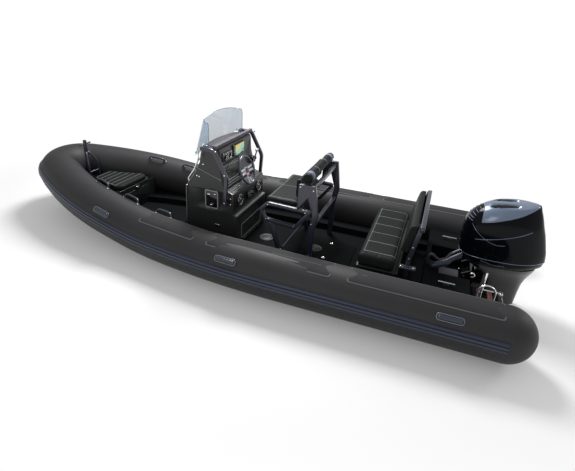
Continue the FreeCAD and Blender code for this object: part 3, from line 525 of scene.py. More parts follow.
def slab(outline, low, high, plane="xy", edge=0.004, steps=3):
    # a closed outline carried from low to high, its two rims rounded by quarter turns
    outline = np.asarray(outline, float)
    ahead = np.roll(outline, -1, 0) - outline
    ahead /= np.maximum(np.linalg.norm(ahead, axis=1)[:, None], 1e-9)
    behind = np.roll(ahead, 1, 0)
    normal = np.stack([ahead[:, 1] + behind[:, 1], -ahead[:, 0] - behind[:, 0]], -1)
    normal /= np.maximum(np.linalg.norm(normal, axis=1)[:, None], 1e-9)
    reach = 1 / np.maximum(ahead[:, 1] * normal[:, 0] - ahead[:, 0] * normal[:, 1], 0.35)
    area = 0.5 * np.sum(outline[:, 0] * np.roll(outline[:, 1], -1)
        - np.roll(outline[:, 0], -1) * outline[:, 1])
    inwards = -np.sign(area) * normal * reach[:, None]
    turn = np.linspace(0, math.pi / 2, steps + 1)
    insets = np.concatenate([1 - np.sin(turn), (1 - np.sin(turn))[::-1]]) * edge
    heights = np.concatenate([low + edge * (1 - np.cos(turn)), (high - edge * (1 - np.cos(turn)))[::-1]])
    rings = outline[None] + insets[:, None, None] * inwards[None]
    third = np.broadcast_to(heights[:, None, None], rings.shape[:2] + (1,))
    order = {"xy": (0, 1, 2), "xz": (0, 2, 1), "yz": (2, 0, 1)}[plane]
    points = np.concatenate([rings, third], -1)[..., list(order)]
    return closedPart(points)


def plate(corners, radius, bends, low, high, plane="xy", edge=0.004):
    # a slab whose outline has rounded corners
    return slab(roundCorners(corners, radius, bends), low, high, plane, edge)


def block(low, high, edge=0.004, plane="xy", corner=None):
    # a box with rounded edges
    low, high = np.asarray(low, float), np.asarray(high, float)
    third = {"yz": 0, "xz": 1, "xy": 2}[plane]
    corners = boxCorners(np.delete(low, third), np.delete(high, third))
    return plate(corners, corner or edge, 3, low[third], high[third], plane, edge)


def lathe(profile, centre, axis, turns=32):
    # (radius, height) pairs turned about an axis; both ends reach the axis or are capped
    axis = np.asarray(axis, float) / np.linalg.norm(axis)
    helper = np.array((0, 0, 1.0)) if abs(axis[2]) < 0.9 else np.array((1.0, 0, 0))
    side = np.cross(axis, helper)
    side /= np.linalg.norm(side)
    other = np.cross(axis, side)
    angle = np.arange(turns) / turns * 2 * math.pi
    ring = np.cos(angle)[:, None] * side + np.sin(angle)[:, None] * other
    profile = np.asarray(profile, float)
    points = np.asarray(centre, float) + profile[:, None, :1] * ring[None] + profile[:, None, 1:] * axis
    return closedPart(points)


def clothe(names, finish):
    # a finish for CAD nodes whose shapes stay
    for name in names.split():
        for holder in nodes[name].material_slots:
            holder.material = finishes[finish].material


# the collar's line, leg by leg: straight runs and arcs, as arrays over the distance s
collar = {"radius": 0.27, "halfBeam": 1.058, "height": 0.3, "sternX": -0.31, "bendX": 1.915,
    "entryRadius": 9.2, "entryTurn": 9.5, "sheerRadius": 4.4, "sheerTurn": 8.25, "sheerRun": 0.25,
    "shoulderRadius": 3.44, "shoulderTurn": 22.7}


def turnAbout(axis, angle, vectors):
    # the vectors turned about an axis, one angle each (Rodrigues)
    c, s = np.cos(angle)[:, None], np.sin(angle)[:, None]
    along = (vectors @ axis)[..., None] * axis if vectors.ndim > 1 else (vectors @ axis) * axis
    return vectors * c + np.cross(axis, vectors) * s + along * (1 - c)


def collarLegs():
    point = np.array((collar["sternX"], collar["halfBeam"], collar["height"]))
    axes = np.eye(3)
    legs, start = [], 0.0

    def add(length, radius=None, turn=0.0, inward=None):
        nonlocal point, axes, start
        leg = {"start": start, "length": length, "point": point, "axes": axes, "turn": math.radians(turn)}
        if radius is None:
            point = point + axes[0] * length
        else:
            leg["axis"] = np.cross(axes[0], inward)
            leg["centre"] = point + inward * radius
            angle = np.full(1, leg["turn"])
            point = leg["centre"] + turnAbout(leg["axis"], angle, point - leg["centre"])[0]
            axes = turnAbout(leg["axis"], np.full(3, leg["turn"]), axes)
        legs.append(leg)
        start += length

    def bend(radius, turn, inward):
        add(radius * math.radians(turn), radius, turn, np.asarray(inward, float))

    add(collar["bendX"] - collar["sternX"])
    bend(collar["entryRadius"], collar["entryTurn"], (0, -1, 0))
    bend(collar["sheerRadius"], collar["sheerTurn"], upright)
    add(collar["sheerRun"])
    rise = axes[0] * (1, 0, 1)
    rise /= np.linalg.norm(rise)
    heading = math.atan2(-axes[0][1], axes[0] @ rise)
    bend(collar["shoulderRadius"], collar["shoulderTurn"],
        np.array((0, -1, 0)) * math.cos(heading) - rise * math.sin(heading))
    heading += math.radians(collar["shoulderTurn"])
    bend(point[1] / math.cos(heading), 90 - math.degrees(heading),
        np.array((0, -1, 0)) * math.cos(heading) - rise * math.sin(heading))
    return legs, start


legs, collarLength = collarLegs()


def collarFrames(s):
    # point, tangent, outward and up at each distance s from the stern
    s = np.asarray(s, float)
    out = np.zeros((len(s), 4, 3))
    for leg in legs:
        chosen = s >= leg["start"] - 1e-9
        along = s[chosen] - leg["start"]
        if "axis" not in leg:
            out[chosen, 0] = leg["point"] + along[:, None] * leg["axes"][0]
            out[chosen, 1:] = leg["axes"]
        else:
            angle = leg["turn"] * along / leg["length"]
            spoke = np.broadcast_to(leg["point"] - leg["centre"], (len(along), 3))
            out[chosen, 0] = leg["centre"] + turnAbout(leg["axis"], angle, spoke)
            for k in range(3):
                vectors = np.broadcast_to(leg["axes"][k], (len(along), 3))
                out[chosen, 1 + k] = turnAbout(leg["axis"], angle, vectors)
    return out


def collarAt(x):
    # the distance along the collar at which its line reaches x
    s = np.linspace(0, collarLength, 3001)
    return float(np.interp(x, collarFrames(s)[:, 0, 0], s))


def onTube(s, angle, radius):
    # points at distances s, angles from outward and radii, all of one shape
    f = collarFrames(np.ravel(s))
    angle, radius = np.ravel(angle)[:, None], np.ravel(radius)[:, None]
    points = f[:, 0] + f[:, 2] * (radius * np.cos(angle)) + f[:, 3] * (radius * np.sin(angle))
    return points.reshape(np.shape(s) + (3,))


def wholeCollar(rows):
    # distances of one half, closer together towards the bow
    return collarLength * (1 - (1 - np.linspace(0, 1, rows)) ** 1.3)


def carriedOnTube(section):
    # a closed section of (angle, height above the tube) carried along the port line to the bow's middle
    # and on to starboard in one piece
    section = np.asarray(section, float)
    grid = np.broadcast_to(np.linspace(0.0, collarLength, 260)[:, None], (260, len(section)))
    angle = np.broadcast_to(np.radians(section[:, 0]), grid.shape)
    points = onTube(grid, angle, np.broadcast_to(collar["radius"] + section[:, 1], grid.shape))
    return closedPart(np.concatenate([points, points[-2::-1] * (1, -1, 1)]))


camera = {"place": (0.65, 4.626, 2.788), "look": (0.2825, -0.8382, -0.4665), "roll": 3.83, "lens": 26.48,
    "sensor": 36.0, "nearest": 0.05}
lamps = {"overhead": {"place": (3.7, -2.7, 5.2), "aim": (2.3, 0, 0), "size": 2.4, "power": 420.0},
    "nearFill": {"place": (3.0, 6.5, 3.5), "aim": (2.5, 0, 0.4), "size": 3.0, "power": 50.0},
    "sternRim": {"place": (-4.0, -2.0, 3.0), "aim": (0.0, 0, 0.6), "size": 1.6, "power": 60.0}}
floor = {"reach": 40.0, "paper": 0.92, "middle": 2.3, "stretch": 1.9, "fadeStart": 2.1, "fadeEnd": 3.2,
    "nearGlow": 0.12}
worldStrength = 0.5
white = (1.0, 1.0, 1.0, 1.0)


def placeCamera():
    made = linked("camera", bpy.data.cameras.new("camera"))
    made.data.lens = camera["lens"]
    made.data.sensor_width = camera["sensor"]
    made.data.clip_start = camera["nearest"]
    look = Vector(camera["look"]).normalized()
    right = look.cross(Vector(upright)).normalized()
    up = right.cross(look)
    c, s = math.cos(math.radians(camera["roll"])), math.sin(math.radians(camera["roll"]))
    basis = Matrix((c * right + s * up, c * up - s * right, -look)).transposed().to_4x4()
    made.matrix_world = Matrix.Translation(camera["place"]) @ basis
    bpy.context.scene.camera = made


def placeFloor():
    # paper that takes the shadow near the boat and glows white far from it
    reach = floor["reach"]
    mesh = bpy.data.meshes.new("floor")
    mesh.from_pydata([(-reach, -reach, 0), (reach, -reach, 0), (reach, reach, 0), (-reach, reach, 0)],
        [], [(0, 1, 2, 3)])
    made = linked("floor", mesh)
    f = Finish("floorPaper", "ffffff", 0.9)
    f.set("Base Color", (*(floor["paper"],) * 3, 1.0))
    x, y = f.axes()[:2]
    along = (x - floor["middle"]) / floor["stretch"]
    far = (along * along + y * y).power(0.5).ramp(floor["fadeStart"], floor["fadeEnd"])
    seen = f.rays("Camera", "Glossy", "Transmission")
    share = seen * (far * (1 - floor["nearGlow"]) + floor["nearGlow"])
    glow = f.node("ShaderNodeEmission", values={"Color": white, "Strength": 1.0})
    f.surface("Material Output", share, Signal(f, f.shader.outputs[0]), glow)
    mesh.materials.append(f.material)


def placeWorld():
    # white where it is seen, dimmer where it lights
    world = bpy.data.worlds.new("studio")
    bpy.context.scene.world = world
    sky = Graph(world)
    plain = sky.tree.nodes["Background"]
    plain.inputs["Color"].default_value = white
    plain.inputs["Strength"].default_value = worldStrength
    seen = sky.node("ShaderNodeBackground", values={"Color": white, "Strength": 1.0})
    sky.surface("World Output", sky.rays("Camera", "Transmission"), Signal(sky, plain.outputs[0]), seen)


def placeLamps():
    for name, lamp in lamps.items():
        light = bpy.data.lights.new(name, "AREA")
        light.shape = "DISK"
        light.size = lamp["size"]
        light.energy = lamp["power"]
        turn = (Vector(lamp["aim"]) - Vector(lamp["place"])).to_track_quat("-Z", "Y")
        linked(name, light).matrix_world = Matrix.Translation(lamp["place"]) @ turn.to_matrix().to_4x4()


placeCamera()
placeFloor()
placeWorld()
placeLamps()
bpy.context.scene.view_settings.view_transform = "Standard"
print("camera, light and floor set")


# collar and what lies on it
def tubeSkin():
    # the tube of radius r round the collar's line; at the stern it closes as a rounded cone
    columns = 96
    angle = np.arange(columns) / columns * 2 * math.pi
    s = wholeCollar(230)
    grid = np.broadcast_to(s[:, None], (len(s), columns))
    points = onTube(grid, np.broadcast_to(angle, grid.shape), np.full(grid.shape, collar["radius"]))
    turn = np.linspace(0, math.pi / 2, 20)[:-1][::-1]
    centre = np.array((collar["sternX"], collar["halfBeam"], collar["height"]))
    rim = np.stack([np.zeros(columns), np.cos(angle), np.sin(angle)], -1) * collar["radius"]
    dome = centre + rim[None] * np.cos(turn)[:, None, None]
    dome[..., 0] -= collar["radius"] * np.sin(turn)[:, None]
    points = np.concatenate([dome[:-1], points])
    whole = np.concatenate([points, points[-2::-1] * (1, -1, 1)])
    return closedPart(whole)


makePiece("collarTube", [tubeSkin()], "tube", "collar")

# ribbed section: flat base on the tube, two round ribs and a bead
strakeSection = [(-2.0, -0.001), (-2.0, 0.012), (-0.6, 0.018), (1.6, 0.02), (3.2, 0.017), (4.0, 0.009),
    (4.8, 0.009), (5.8, 0.019), (8.2, 0.022), (10.6, 0.019), (11.6, 0.009), (12.4, 0.009), (13.2, 0.016),
    (15.0, 0.0185), (16.8, 0.016), (17.8, 0.008), (19.0, 0.003), (19.0, -0.001)]
makePiece("rubStrake", [carriedOnTube(strakeSection)], "strake", "rub_strake", sharp=50)
bandSection = [(-16.0, -0.001), (-16.0, 0.002), (-15.2, 0.0055), (-9.0, 0.006),
    (-2.5, 0.006), (-2.2, -0.001)]
makePiece("lowerBand", [carriedOnTube(bandSection)], "band", "lower_band", sharp=50)
print("collar dressed")


# the mats' runs along x and their reach round the tube in degrees
patch = {"runs": ((-0.25, 1.18), (1.34, 2.74), (2.9, 3.7)), "low": 57.0, "high": 112.0}


def treadPatches():
    # thin mats on the tube's top: a grid over distance and angle with rounded corners
    parts = []
    for aft, fore in patch["runs"]:
        start, end = collarAt(aft), collarAt(fore)
        width = math.radians(patch["high"] - patch["low"]) * collar["radius"]
        outline = roundCorners(boxCorners((start, 0), (end, width)), 0.035, 5)
        # rows from the outline shrunk towards its spine
        rings = []
        spine = np.stack([outline[:, 0].clip(start + width / 2, end - width / 2),
            np.full(len(outline), width / 2)], -1)
        for share, height in ((1.0, -0.001), (0.99, 0.0026), (0.9, 0.0026), (0.89, 0.003),
                (0.5, 0.003), (0.02, 0.003)):
            flat = spine + (outline - spine) * share
            angle = np.radians(patch["low"]) + flat[:, 1] / collar["radius"]
            rings.append(onTube(flat[:, 0], angle, np.full(len(flat), collar["radius"] + height)))
        parts.append(outward(gridPart(np.stack(rings), along=np.arange(6), closed=True,
            caps=(False, True))))
    return twoSides(parts)


makePiece("treadMats", treadPatches(), "tread", "tread_patches", sharp=60)

# the cloth's pressure, frames and quality, and the strength of the quick stand-in
stuffing = {"fill": 0.7, "pressure": 4.0, "frames": 20, "quality": 5, "quickSmoothing": 6}


def settle(holder):
    # the mesh becomes what its modifiers make of it
    graph = bpy.context.evaluated_depsgraph_get()
    holder.data = bpy.data.meshes.new_from_object(holder.evaluated_get(graph))
    holder.modifiers.clear()


def readPoints(mesh, key="co"):
    points = np.zeros(len(mesh.vertices) * 3, np.float32)
    mesh.vertices.foreach_get(key, points)
    return points.reshape(-1, 3)


def writePoints(mesh, points):
    mesh.vertices.foreach_set("co", points.astype(np.float32).ravel())
    mesh.update()


def inflate(base):
    # a short cloth run under pressure
    scene = bpy.context.scene
    cloth = base.modifiers.new("cloth", "CLOTH")
    cloth.settings.use_pressure = True
    cloth.settings.uniform_pressure_force = stuffing["pressure"]
    cloth.settings.effector_weights.gravity = 0.0
    cloth.settings.quality = stuffing["quality"]
    cloth.point_cache.frame_start = 1
    cloth.point_cache.frame_end = stuffing["frames"]
    for step in range(1, stuffing["frames"] + 1):
        scene.frame_set(step)
    settle(base)
    scene.frame_set(1)


def stuffed(name, part, body, replaced, voxel, cap, stitch):
    # a slightly small closed part is remeshed, blown up by at most the cap and then stitched
    base = makePiece(name, [part], "leather", body=body)
    remesh = base.modifiers.new("remesh", "REMESH")
    remesh.mode = "VOXEL"
    remesh.voxel_size = voxel
    settle(base)
    before = readPoints(base.data).astype(float)
    inflate(base)
    move = readPoints(base.data).astype(float) - before
    length = np.linalg.norm(move, axis=1)[:, None]
    after = before + move * np.minimum(1, cap / np.maximum(length, 1e-9))
    writePoints(base.data, after)
    normal = readPoints(base.data, "normal")
    depth = stitch(after, normal)
    writePoints(base.data, after + normal * depth[:, None])
    seam = base.data.attributes.new("seam", "FLOAT", "POINT")
    seam.data.foreach_set("value", (-depth / max(-depth.min(), 1e-6)).clip(0, 1).astype(np.float32))
    base.data.polygons.foreach_set("use_smooth", np.ones(len(base.data.polygons), bool))
    finer = base.modifiers.new("finer", "SUBSURF")
    finer.levels = 1
    finer.render_levels = 1
    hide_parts(replaced)


def groove(distance, width=0.01, depth=0.005):
    # a soft channel: deepest where the distance is 0, gone beyond the width
    share = (np.abs(distance) / width).clip(0, 1)
    return -depth * (1 - share ** 2) ** 2


# engine: closed rings from the bottom up, each a rounded plan curve at its own height and slope
cowl = {
    # height at the middle, front x, aft x, half width, squareness, rise towards the stern
    "rings": ((0.5, 0.05, -0.6, 0.175, 2.4, 0.00), (0.506, 0.11, -0.655, 0.205, 2.5, 0.02),
              (0.53, 0.145, -0.688, 0.222, 2.6, 0.03), (0.6, 0.168, -0.698, 0.23, 2.7, 0.04),
              (0.68, 0.178, -0.682, 0.234, 2.7, 0.04), (0.78, 0.184, -0.65, 0.236, 2.7, 0.04),
              (0.88, 0.184, -0.615, 0.234, 2.6, 0.05), (0.96, 0.172, -0.58, 0.228, 2.5, 0.06),
              (1.02, 0.146, -0.555, 0.218, 2.4, 0.08), (1.07, 0.106, -0.531, 0.203, 2.3, 0.1),
              (1.105, 0.068, -0.513, 0.188, 2.2, 0.11), (1.13, 0.032, -0.502, 0.174, 2.1, 0.12),
              (1.148, -0.004, -0.492, 0.16, 2.0, 0.13)),
    "columns": 88, "tail": 0.42}


def ringOf(z, front, aft, half, power, rise, columns, tail=0.0):
    # superellipse in plan whose stern end narrows; z climbs towards the stern
    angle = np.arange(columns) / columns * 2 * math.pi
    c, s = np.cos(angle), np.sin(angle)
    x = (front + aft) / 2 + (front - aft) / 2 * np.sign(c) * np.abs(c) ** (2 / power)
    y = half * np.sign(s) * np.abs(s) ** (2 / power)
    back = ((front + aft) / 2 - x).clip(0, None) / ((front - aft) / 2)
    y = y * (1 - tail * back ** 2.2)
    return np.stack([x, y, z - rise * (x + 0.1)], -1)


cowlTable = np.array(cowl["rings"])


def cowlRing(height):
    # the figures of a ring at any height, between those of the table
    return [np.interp(height, cowlTable[:, 0], cowlTable[:, k]) for k in range(6)]


def cowlWall(x, height):
    # half width and true height of the wall at x, and how far x lies from the middle to the ends
    _, front, aft, half, power, rise = cowlRing(height)
    share = (x - (front + aft) / 2) / ((front - aft) / 2)
    y = half * (1 - np.abs(share).clip(0, 1) ** power) ** (1 / power)
    return y * (1 - cowl["tail"] * (-share).clip(0, 1) ** 2.2), height - rise * (x + 0.1), share


def cowlBody():
    rings = [ringOf(*ring, cowl["columns"], cowl["tail"]) for ring in cowl["rings"]]
    # inner floor of the top: the last ring steps down and then shrinks to the middle
    last = rings[-1]
    middle = last.mean(axis=0)
    for share, drop in ((0.97, 0.002), (0.95, 0.02), (0.9, 0.048), (0.6, 0.05), (0.25, 0.05), (0.02, 0.05)):
        rings.append(middle + (last - middle) * share - (0, 0, drop))
    return closedPart(rings)


makePiece("cowlShell", [cowlBody()], "cowl", "engine_cowl", "outboard", sharp=60)


def cowlSection(x, count):
    # the port half of the cross-section at x, from the lens edge (z rising aft) up to the middle
    t = 0.045 - x
    y, z, share = cowlWall(x, np.linspace(0.9, 1.148, 220))
    edge = min(0.965 + 0.3 * t + 0.27 * t * t, z[np.abs(share) < 1].max() - 0.01)
    keep = (np.abs(share) < 1) & (z >= edge)
    y, z = y[keep], z[keep]
    flat = np.linspace(1, 0, 20)[1:]
    z = np.concatenate([z, z[-1] + 0.012 * (1 - flat ** 2) * min(1, y[-1] / 0.08)])
    y = np.concatenate([y, y[-1] * flat])
    run = np.concatenate([[0], np.cumsum(np.hypot(np.diff(y), np.diff(z)))])
    at = np.linspace(0, run[-1], count)
    return np.interp(at, run, y), np.interp(at, run, z)


def lensGrid():
    # a slate shell over the shoulders, 4 mm proud, tucked in at its border, with a hollow for the hand
    rows, count = 44, 26
    spots = 0.04 - 0.52 * np.linspace(0, 1, rows)
    outer, inner = [], []
    for k, x in enumerate(spots):
        y, z = cowlSection(x, count)
        dy, dz = np.gradient(y), np.gradient(z)
        size = np.hypot(dy, dz).clip(1e-9)
        lift = np.full(count, 0.004)
        lift[0] = -0.003
        lift[1] = 0.002
        if k in (0, rows - 1):
            lift[:] = -0.003
        hollow = (1 - ((x + 0.165) / 0.14) ** 2 - ((y - 0.086) / 0.048) ** 2).clip(0, 1)
        drop = 0.034 * (1 - (1 - hollow) ** 3)
        outer.append(np.stack([np.full(count, x), y + dz / size * lift, z - dy / size * lift - drop], -1))
        inner.append(np.stack([np.full(count, x), y - dz / size * 0.005, z + dy / size * 0.005 - drop], -1))
    return np.array(outer), np.array(inner)


def cowlTop():
    outer, inner = [np.concatenate([half, half[:, -2::-1] * (1, -1, 1)], 1) for half in lensGrid()]
    return closedPart(np.concatenate([outer, inner[:, ::-1]], 1))


makePiece("cowlTopPanel", [cowlTop()], "lens", body="outboard", sharp=60)
studs = []
for x in (-0.1, -0.21):
    y, z = cowlSection(x, 26)
    studs.append(lathe([(0.011, 0), (0.01, 0.006), (0.004, 0.009)],
        (x, 0.086, np.interp(0.086, y[::-1], z[::-1]) - 0.036), upright, 16))
makePiece("lensStuds", twoSides(studs), "chrome", body="outboard")
# a slate rod along the lens's border, a painted highlight for the light its rim catches
lensOuter = lensGrid()[0]
lensBorder = np.concatenate([lensOuter[1:-1, 1], lensOuter[-2:0:-1, 1] * (1, -1, 1)])
makePiece("lensRim", [rod(lensBorder, 0.0035, 8, upright, closed=True)], "slate",
    body="outboard")


def legParts():
    columns = 56
    # apron under the cowling, then the midsection down to the gearcase
    rings = ((0.5, 0.1, -0.64, 0.195, 2.4, 0.0), (0.47, 0.09, -0.635, 0.185, 2.4, 0.0),
        (0.42, 0.02, -0.615, 0.15, 2.3, 0.0), (0.35, -0.1, -0.585, 0.115, 2.2, 0.0),
        (0.27, -0.19, -0.565, 0.092, 2.1, 0.0), (0.15, -0.217, -0.556, 0.078, 2.1, 0.0),
        (-0.05, -0.217, -0.552, 0.07, 2.0, 0.0), (-0.2, -0.235, -0.54, 0.062, 2.0, 0.0),
        (-0.33, -0.25, -0.53, 0.052, 1.9, 0.0), (-0.385, -0.262, -0.525, 0.046, 1.9, 0.0),
        (-0.47, -0.285, -0.52, 0.038, 1.8, 0.0), (-0.56, -0.29, -0.53, 0.034, 1.8, 0.0),
        (-0.64, -0.29, -0.545, 0.03, 1.8, 0.0))
    stem = closedPart([ringOf(*ring, columns, 0.25) for ring in rings])
    torpedo = lathe([(0.0005, 0.06), (0.012, 0.052), (0.03, 0.03), (0.045, 0.0), (0.055, -0.05),
        (0.058, -0.12), (0.058, -0.22), (0.055, -0.3), (0.052, -0.332)], (-0.2282, 0, -0.61), foreAft, 36)
    finPlate = plate([(-0.225, -0.04), (-0.3, -0.105), (-0.6, -0.11), (-0.64, -0.08), (-0.64, 0.08),
        (-0.6, 0.11), (-0.3, 0.105), (-0.225, 0.04)], 0.03, 4, -0.391, -0.379, "xy", 0.003)
    spray = plate([(-0.215, -0.03), (-0.26, -0.075), (-0.56, -0.085), (-0.585, -0.05), (-0.585, 0.05),
        (-0.56, 0.085), (-0.26, 0.075), (-0.215, 0.03)], 0.03, 4, -0.232, -0.222, "xy", 0.003)
    skeg = plate([(-0.31, -0.655), (-0.54, -0.655), (-0.557, -0.8), (-0.56, -0.845), (-0.545, -0.85),
        (-0.505, -0.849), (-0.45, -0.8)], 0.02, 3, -0.0065, 0.0065, "xz", 0.003)
    tab = plate([(-0.53, -0.391), (-0.6, -0.391), (-0.61, -0.47), (-0.59, -0.48), (-0.545, -0.44)], 0.01, 3,
        -0.008, 0.008, "xz", 0.004)
    arms = [block((-0.255, -0.04, -0.06), (-0.115, 0.04, -0.008), 0.008),
        block((-0.255, -0.06, 0.375), (-0.115, 0.06, 0.44), 0.008)]
    pin = lathe([(0.0259, -0.05), (0.0259, 0.4)], (-0.155, 0, 0), upright, 28)
    vents = [block((-0.33 - 0.02 * k, y, -0.52), (-0.322 - 0.02 * k, y + 0.006, -0.47), 0.0015)
        for k in range(4) for y in (-0.0375, 0.0315)]
    return [stem, torpedo, finPlate, spray, skeg, tab, pin] + arms + vents


makePiece("engineLeg", legParts(), "legPaint", "engine_leg", "outboard", sharp=50)


def propellerParts():
    # three skewed blades: rows along the radius, each a thin foil turned by its pitch
    hub = lathe([(0.002, -0.112), (0.03, -0.112), (0.034, -0.106), (0.046, -0.06), (0.052, -0.01),
        (0.052, -0.0005)], (-0.5605, 0, -0.61), foreAft, 36)
    t = np.linspace(0, 1, 14)
    a = np.arange(20) / 20 * 2 * math.pi
    parts = [hub, lathe([(0.0159, -0.001), (0.0159, 0.058)], (-0.5605, 0, -0.61), foreAft, 20)]
    radius = 0.045 + t * 0.139
    chord = 0.03 + 0.052 * np.sin(math.pi * (0.15 + 0.8 * t)) ** 0.8
    chord[-1] = 0.012
    thick = 0.009 * (1 - t) + 0.0012
    pitch = np.arctan2(0.062, radius)
    sweepBack = 0.35 * t ** 2
    for turn in (0.0, 120.0, 240.0):
        around = sweepBack[:, None] + (chord[:, None] * np.cos(a) * np.cos(pitch)[:, None]
            - thick[:, None] * np.sin(a) * np.sin(pitch)[:, None]) / radius[:, None]
        x = (chord[:, None] * np.cos(a) * np.sin(pitch)[:, None]
            + thick[:, None] * np.sin(a) * np.cos(pitch)[:, None])
        angle = around + math.radians(turn)
        points = np.stack([-0.616 + x * 0.55, radius[:, None] * np.sin(angle),
            -0.61 + radius[:, None] * np.cos(angle)], -1)
        parts.append(closedPart(points))
    return parts


makePiece("propellerBlades", propellerParts(), "steel", "propeller", "propeller_body", sharp=50)
print("engine built")


# console shell: rounded rectangles at rising heights; the hatch and door holes are left out
console = {"half": 0.45, "corner": 0.06, "wall": 0.012, "hatchX": (2.96, 3.155), "doorY": 0.33,
           # height, front x, aft x
           "levels": ((0.1205, 3.488, 2.731), (0.16, 3.487, 2.731), (0.3, 3.481, 2.731), (0.42, 3.476, 2.731),
                      (0.535, 3.47, 2.731), (0.57, 3.468, 2.766), (0.6, 3.466, 2.766), (0.7, 3.461, 2.766),
                      (0.825, 3.455, 2.766), (0.838, 3.453, 2.772), (0.85, 3.45, 2.815), (0.867, 3.44, 2.884),
                      (0.92, 3.405, 2.893), (0.96, 3.38, 2.906), (1.007, 3.346, 2.915), (1.08, 3.315, 2.93),
                      (1.155, 3.284, 2.945), (1.25, 3.272, 2.95), (1.305, 3.262, 2.95), (1.332, 3.25, 2.956),
                      (1.346, 3.228, 2.972), (1.3495, 3.2, 2.995))}


def sideY(z):
    # the shell's half width, less towards its top
    return console["half"] - 0.02 * max(0.0, (z - 1.0) / 0.35)


def consoleRing(z, front, aft):
    # from the aft face's middle round by port to the front's, and back by starboard
    r = console["corner"] * (1 if z < 1.3 else 1.3)
    s, w, bow = 0.018, sideY(z), 0.045 * min(1.0, max(0.0, z - 0.1))
    turn = np.linspace(0, math.pi / 2, 6)
    port = [(aft, 0.0), (aft, console["doorY"]), (aft, w - s)]
    port += [(aft + s - s * math.cos(a), w - s + s * math.sin(a)) for a in turn[1:]]
    aftHole, foreHole = console["hatchX"]
    port += [(min(max(x, aft + s + least), front - r - 0.004), w)
        for x, least in ((aftHole + 0.02, 0.02), (3.06, 0.025), (foreHole, 0.005))]
    port += [(front - bow - r + r * math.sin(a), w - r + r * math.cos(a)) for a in turn]
    port += [(front - bow * share ** 2, (w - r) * share) for share in (0.66, 0.33, 0.0)]
    port = np.array([(x, y, z) for x, y in port])
    return np.concatenate([port, port[-2:0:-1] * (1, -1, 1)])


def consolePiece():
    rings = np.stack([consoleRing(*level) for level in console["levels"]])
    points, faces, corners = outward(gridPart(rings, closed=True, caps=(False, True)))
    aft, fore = console["hatchX"]
    kept, keptCorners = [], []
    for face, corner in zip(faces, corners):
        x, y, z = points[list(face)].mean(axis=0)
        inHatch = aft < x < fore and 0.6 < z < 0.838 and y > 0.3
        inDoor = x < 2.74 and abs(y) < console["doorY"] and 0.16 < z < 0.42
        if len(face) > 4 or not (inHatch or inDoor):
            kept.append(face)
            keptCorners.append(corner)
    made = makePiece("consoleShell", [(points, kept, keptCorners)], "console", "console_shell", sharp=32)
    wall = made.modifiers.new("wall", "SOLIDIFY")
    wall.thickness = console["wall"]
    wall.offset = -1.0


consolePiece()
pane = {"half": 0.438, "corner": 0.084, "cornerX": 3.226, "aftX": 3.0856, "foot": 1.2155,
    "lean": 0.138 / 0.485, "sill": 1.3515, "bulge": 0.0195, "thick": 0.0052}


def paneGrid(inset):
    # rows rise from the lower edge, columns run from the port wing round the front to starboard
    half, r, y0 = pane["half"] - inset, pane["corner"] - inset, pane["half"] - pane["corner"]
    v = np.linspace(0, 1, 12)
    columns = []
    for f in np.linspace(0, 1, 9)[:-1]:
        columns.append(("wing", f, pane["sill"], 1.6 + 0.045 * math.sqrt(1 - (1 - f) ** 2)))
    for a in np.linspace(0, math.pi / 2, 9)[:-1]:
        low = pane["sill"] + (pane["foot"] - pane["sill"]) * min(1.0, a) ** 1.5
        columns.append(("turn", a, low, 1.645 + 0.012 * a))
    for y in np.linspace(y0, 0, 12):
        columns.append(("front", y, pane["foot"], 1.664 + 0.034 * (1 - (y / y0) ** 2)))
    grid = []
    for kind, t, low, high in columns:
        z = low + v * (high - low)
        cornerX = pane["cornerX"] - pane["lean"] * (z - pane["foot"])
        if kind == "wing":
            x, y = pane["aftX"] + t * (cornerX - pane["aftX"]), np.full(12, half)
        elif kind == "turn":
            x, y = cornerX + r * math.sin(t), np.full(12, y0 + r * math.cos(t))
        else:
            x, y = cornerX + r + pane["bulge"] * (1 - (t / y0) ** 2), np.full(12, t)
        grid.append(np.stack([x, y, z], -1))
    port = np.stack(grid, 1)
    return np.concatenate([port, port[:, -2::-1] * (1, -1, 1)], 1)


def screenPart():
    ring = np.concatenate([paneGrid(0.0), paneGrid(pane["thick"])[::-1]])
    return closedPart(np.swapaxes(ring, 0, 1))


makePiece("screenPane", [screenPart()], "glass", "windscreen", sharp=50)

rail = {"y": 0.51, "size": 0.042}


def consoleRails():
    line = [(3.15, rail["y"], 1.354), (2.985, rail["y"], 1.354), (2.825, rail["y"], 1.06),
        (2.846, rail["y"], 0.706)]
    parts = twoSides([squareTube(line, rail["size"], rail["size"], 0.035, 0.008),
        block((3.108, 0.4505, 1.34), (3.15, 0.492, 1.372), 0.004),
        block((2.832, 0.4505, 0.717), (2.86, 0.492, 0.757), 0.004)])
    return parts


makePiece("consoleRails", consoleRails(), "frame", "console_rails", sharp=40)


